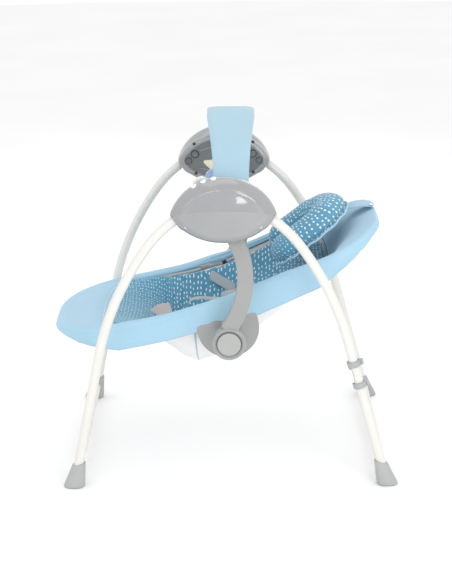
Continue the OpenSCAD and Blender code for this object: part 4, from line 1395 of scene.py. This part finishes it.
# Flat webbing along a path, with rounded edges and cloth coordinates along it.
def strap(name, path, across, width, thick=2.0, body="seat", finish=None, slot="webbing", stands=(), segments=8):
    rows, cloth, run = [], [], 0.0
    for i, p in enumerate(path):
        ahead = path[min(i + 1, len(path) - 1)]
        behind = path[max(i - 1, 0)]
        along = (ahead - behind).normalized()
        run += (p - behind).length if i else 0
        wide = across[i] if isinstance(across, list) else across
        wide = (wide - along * wide.dot(along)).normalized()
        up = along.cross(wide).normalized()
        row = []
        for k in range(segments + 1):
            t = 2 * k / segments - 1
            bulge = thick / 2 * mm * math.sqrt(max(1 - t ** 8, 0.02))
            row.append((p + wide * (width / 2 * t * mm) + up * bulge, t))
        for k in range(segments, -1, -1):
            t = 2 * k / segments - 1
            bulge = thick / 2 * mm * math.sqrt(max(1 - t ** 8, 0.02))
            row.append((p + wide * (width / 2 * t * mm) - up * bulge, t))
        rows.append([place for place, _ in row])
        cloth += [(run, width / 2 * t * mm, 0.0) for _, t in row]
    obj = skinPiece(name, rows, closeRound=True, caps=True)
    clothMap(obj, cloth)
    useOnly(obj)
    bpy.ops.object.mode_set(mode="EDIT")
    bpy.ops.mesh.select_all(action="SELECT")
    bpy.ops.mesh.normals_make_consistent(inside=False)
    bpy.ops.object.mode_set(mode="OBJECT")
    smoothShade(obj, 50)
    dress(obj, finish or harnessWebbing, body, slot, *stands)
    return obj


def curveThrough(points, steps):  # a smooth line through a few places
    made = []
    for i in range(len(points) - 1):
        p0, p1, p2, p3 = points[max(i - 1, 0)], points[i], points[i + 1], points[min(i + 2, len(points) - 1)]
        for k in range(steps):
            t = k / steps
            square = (2 * p0 - 5 * p1 + 4 * p2 - p3) * t * t
            cube = (3 * p1 - p0 - 3 * p2 + p3) * t ** 3
            made.append(0.5 * ((2 * p1) + (p2 - p0) * t + square + cube))
    made.append(points[-1])
    return made


def at(x, y, z):
    return Vector((x, y, z)) * mm


crotch = curveThrough([at(-58, 0, 246), at(-70, -1, 272), at(-80, 0, 308), at(-82, 0, 338), at(-74, 1, 356),
        at(-52, 1, 361),
                       at(-26, 0, 360), at(4, 0, 359)], 8)
strap("crotchStrap", crotch, Vector((0.05, 1, 0)), 25, stands=("crotch_strap",))
for side, word in ((-1, "Left"), (1, "Right")):
    path = curveThrough([at(-26, side * 150, 372), at(4, side * 140, 357), at(34, side * 128, 343),
            at(60, side * 118, 331), at(78, side * 112, 318)], 8)
    lean = Vector((0.25, side * math.cos(math.radians(56)), math.sin(math.radians(56))))
    strap("waistStrap" + word, path, lean, 25, stands=("waist_straps",))
    fold = curveThrough([at(-12, side * 146.5, 366), at(-24, side * 149, 372), at(-28, side * 150.5, 373),
            at(-26, side * 151.5, 370)], 6)
    strap("waistStrapHem" + word, fold, lean, 24, thick=2.4)
buckle = refined("buckle", "harnessBuckle", 0.0034, 4)
dress(buckle, buckleGrey, "seat", "dark_plastic", "buckle")
low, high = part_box("buckle")
middle = (low + high) / 2
for k, y in enumerate((-1, 1)):
    dress(block("bucklePress" + str(k + 1), middle + at(-2, y * 17.5, 0.5), (0.017, 0.006, 0.007), 0.0018,
            (0, -math.radians(14), 0)),
          clipGrey, "seat", "dark_plastic")
dress(block("buckleFace", middle + at(1.5, 0, 6.0), (0.020, 0.019, 0.0022), 0.0009, (0, -math.radians(14), 0)),
        clipGrey, "seat", "dark_plastic")
tagShape = {"corner": at(-168, 20, 303), "long": 50, "wide": 26}
tagRows, tagMap = [], []
for i in range(15):
    row = []
    for j in range(9):
        u, v = i / 14, j / 8
        p = tagShape["corner"] + Matrix.Rotation(math.radians(-20), 3, "Y") @ Matrix.Rotation(math.radians(48),
                3, "X") @ at(tagShape["long"] * u, tagShape["wide"] * v, 0)
        row.append(p + at(0, 0, 3.4 * math.sin(math.pi * u * 1.1) * (0.5 + v)) + at(0, -2.5 * v * v, 1.5 * u * v))
        tagMap.append((u * tagShape["long"] * mm, v * tagShape["wide"] * mm, 0))
    tagRows.append(row)
tag = skinPiece("careTag", tagRows)
clothMap(tag, tagMap)
modify(tag, "SOLIDIFY", thickness=0.0006, offset=0)
smoothShade(tag, 50)
dress(tag, tagCloth, "seat", "tag_fabric", "care_tag")

# Head flap and snap

flapLow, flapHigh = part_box("head_flap")
rows, cloth = [], []
for i in range(25):
    row = []
    for j in range(15):
        u, v = i / 24, j / 14
        tip = 1 - 0.10 * (2 * v - 1) ** 2
        x = flapLow.x + (flapHigh.x - flapLow.x) * u * tip
        y = flapLow.y + (flapHigh.y - flapLow.y) * v
        bulge = 0.004 * math.sin(math.pi * u) * (0.7 + 0.3 * v)
        droop = 0.006 * (1 - u) ** 2
        ripple = 0.0012 * noise.noise(Vector((x, y, 0)) * 40)
        z = (flapLow.z + flapHigh.z) / 2 + bulge - droop + ripple
        row.append(Vector((x, y, z)))
        cloth.append((x, (v - 0.5) * 0.056, 0))
    rows.append(row)
flap = skinPiece("headFlap", rows)
clothMap(flap, cloth)
modify(flap, "SOLIDIFY", thickness=0.0026, offset=0)
modify(flap, "SUBSURF", levels=1, render_levels=1)
smoothShade(flap)
dress(flap, flapCloth, "seat", "outer_fabric", "head_flap")
snap = refined("flap_snap", "flapSnap", 0.0009, 3)
dress(snap, snapSteel, "seat", "steel", "flap_snap")

# Seat tubes

for node, name in (("back_tube", "backTube"), ("leg_tube", "legTube")):
    dress(refined(node, name, 0), creamTube, "seat", "tube_paint", node)
print("straps, flap and tubes are made")


# Toy bar

barShape = {"arch": 290, "centreZ": 532, "x": 25, "wide": 108, "narrow": 76, "end": 234}


def archPoint(x, angle, drop):
    r = barShape["arch"] - drop
    return Vector(((barShape["x"] + x) * mm, r * math.sin(angle) * mm,
            (barShape["centreZ"] + r * math.cos(angle)) * mm))


def sleeveWidth(y):
    t = min(max((abs(y) - 48) / (barShape["end"] - 48), 0), 1)
    t = t * t * (3 - 2 * t) * 0.4 + t * 0.6
    return barShape["wide"] + (barShape["narrow"] - barShape["wide"]) * t


endAngle = math.asin(barShape["end"] / (barShape["arch"] - 3))
rows, cloth = [], []
for i in range(121):
    angle = -endAngle + 2 * endAngle * i / 120
    y = barShape["arch"] * math.sin(angle)
    half = sleeveWidth(y) / 2
    row = []
    for j in range(45):  # round the sleeve: over the top, round the edge, and back below
        a = 2 * math.pi * j / 44
        c, s = math.cos(a), math.sin(a)
        x = half * math.copysign(abs(c) ** 0.55, c)
        puff = 5.2 * math.copysign(abs(s) ** 0.8, s)
        crease = 0.5 * noise.noise(Vector((x * 0.02, y * 0.022, s))) + 0.28 * noise.noise(Vector((x * 0.07,
                y * 0.05, s + 4)))
        row.append(archPoint(x, angle, 6.5 - puff - crease * 1.4))
        cloth.append((angle * barShape["arch"] * mm, x * 54 / half * mm, 0))
    rows.append(row)
sleeve = skinPiece("toyBarSleeve", rows)
clothMap(sleeve, cloth)
sleeve.data.flip_normals()
faceOutward(sleeve, Vector((0.025, 0, 0.6)))
modify(sleeve, "SOLIDIFY", thickness=0.0012, offset=0)
smoothShade(sleeve, 60)
dress(sleeve, sleeveCloth, "toy_bar", "outer_fabric", "bar_sleeve")
sleeveArea = sum(p.area for p in sleeve.data.polygons) / 2
print("sleeve area", round(sleeveArea, 4))
for node, name, finish, slot in (("bar_core", "barCore", blackPlastic, "dark_plastic"),
        ("bar_ends", "barEnds", clipGrey, "dark_plastic")):
    dress(refined(node, name, 0.0012, 3), finish, "toy_bar", slot, node)
tabs = refined("toy_tabs", "toyTabs", 0.0005, 2)
clothMap(tabs, [(v.co.x, v.co.z, 0) for v in tabs.data.vertices])
dress(tabs, flapCloth, "toy_bar", "outer_fabric", "toy_tabs")


# A stuffed toy: its flat outline swelled by cloth pressure, with a seam round its edge.
def stuffedToy(node, name, finish, slot, voxel, cap):
    source = nodes[node]
    obj = bpy.data.objects.new(name, source.data.copy())
    bpy.context.scene.collection.objects.link(obj)
    cleanMesh(obj, 0.00002)
    low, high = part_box(node)
    middle = (low + high) / 2
    swell(obj, voxel, cap, pressure=5.0)
    for vertex in obj.data.vertices:
        seam = math.exp(-((vertex.co.y - middle.y) / 0.0016) ** 2)
        vertex.co -= vertex.normal * (0.0011 * seam + 0.0006 * noise.noise(vertex.co * 60))
    modify(obj, "SMOOTH", iterations=4, factor=0.6)
    modify(obj, "SUBSURF", levels=1, render_levels=1)
    smoothShade(obj)
    dress(obj, finish, node, slot, node)
    return obj


stuffedToy("star_toy", "starToy", starPlush, "star_fabric", 0.0034, 0.006)
stuffedToy("cloud_toy", "cloudToy", cloudPlush, "cloud_fabric", 0.0034, 0.006)
print("toy bar is made")


# Leg clip

clip = refined("leg_clip", "legClip", 0.0012, 3)
dress(clip, clipGrey, "rear_frame", "white_plastic", "leg_clip")
label = refined("leg_label", "legLabel", 0.0012, 3)
dress(label, labelPaper, "rear_frame", "tag_fabric", "leg_label")
print("leg clip is made")
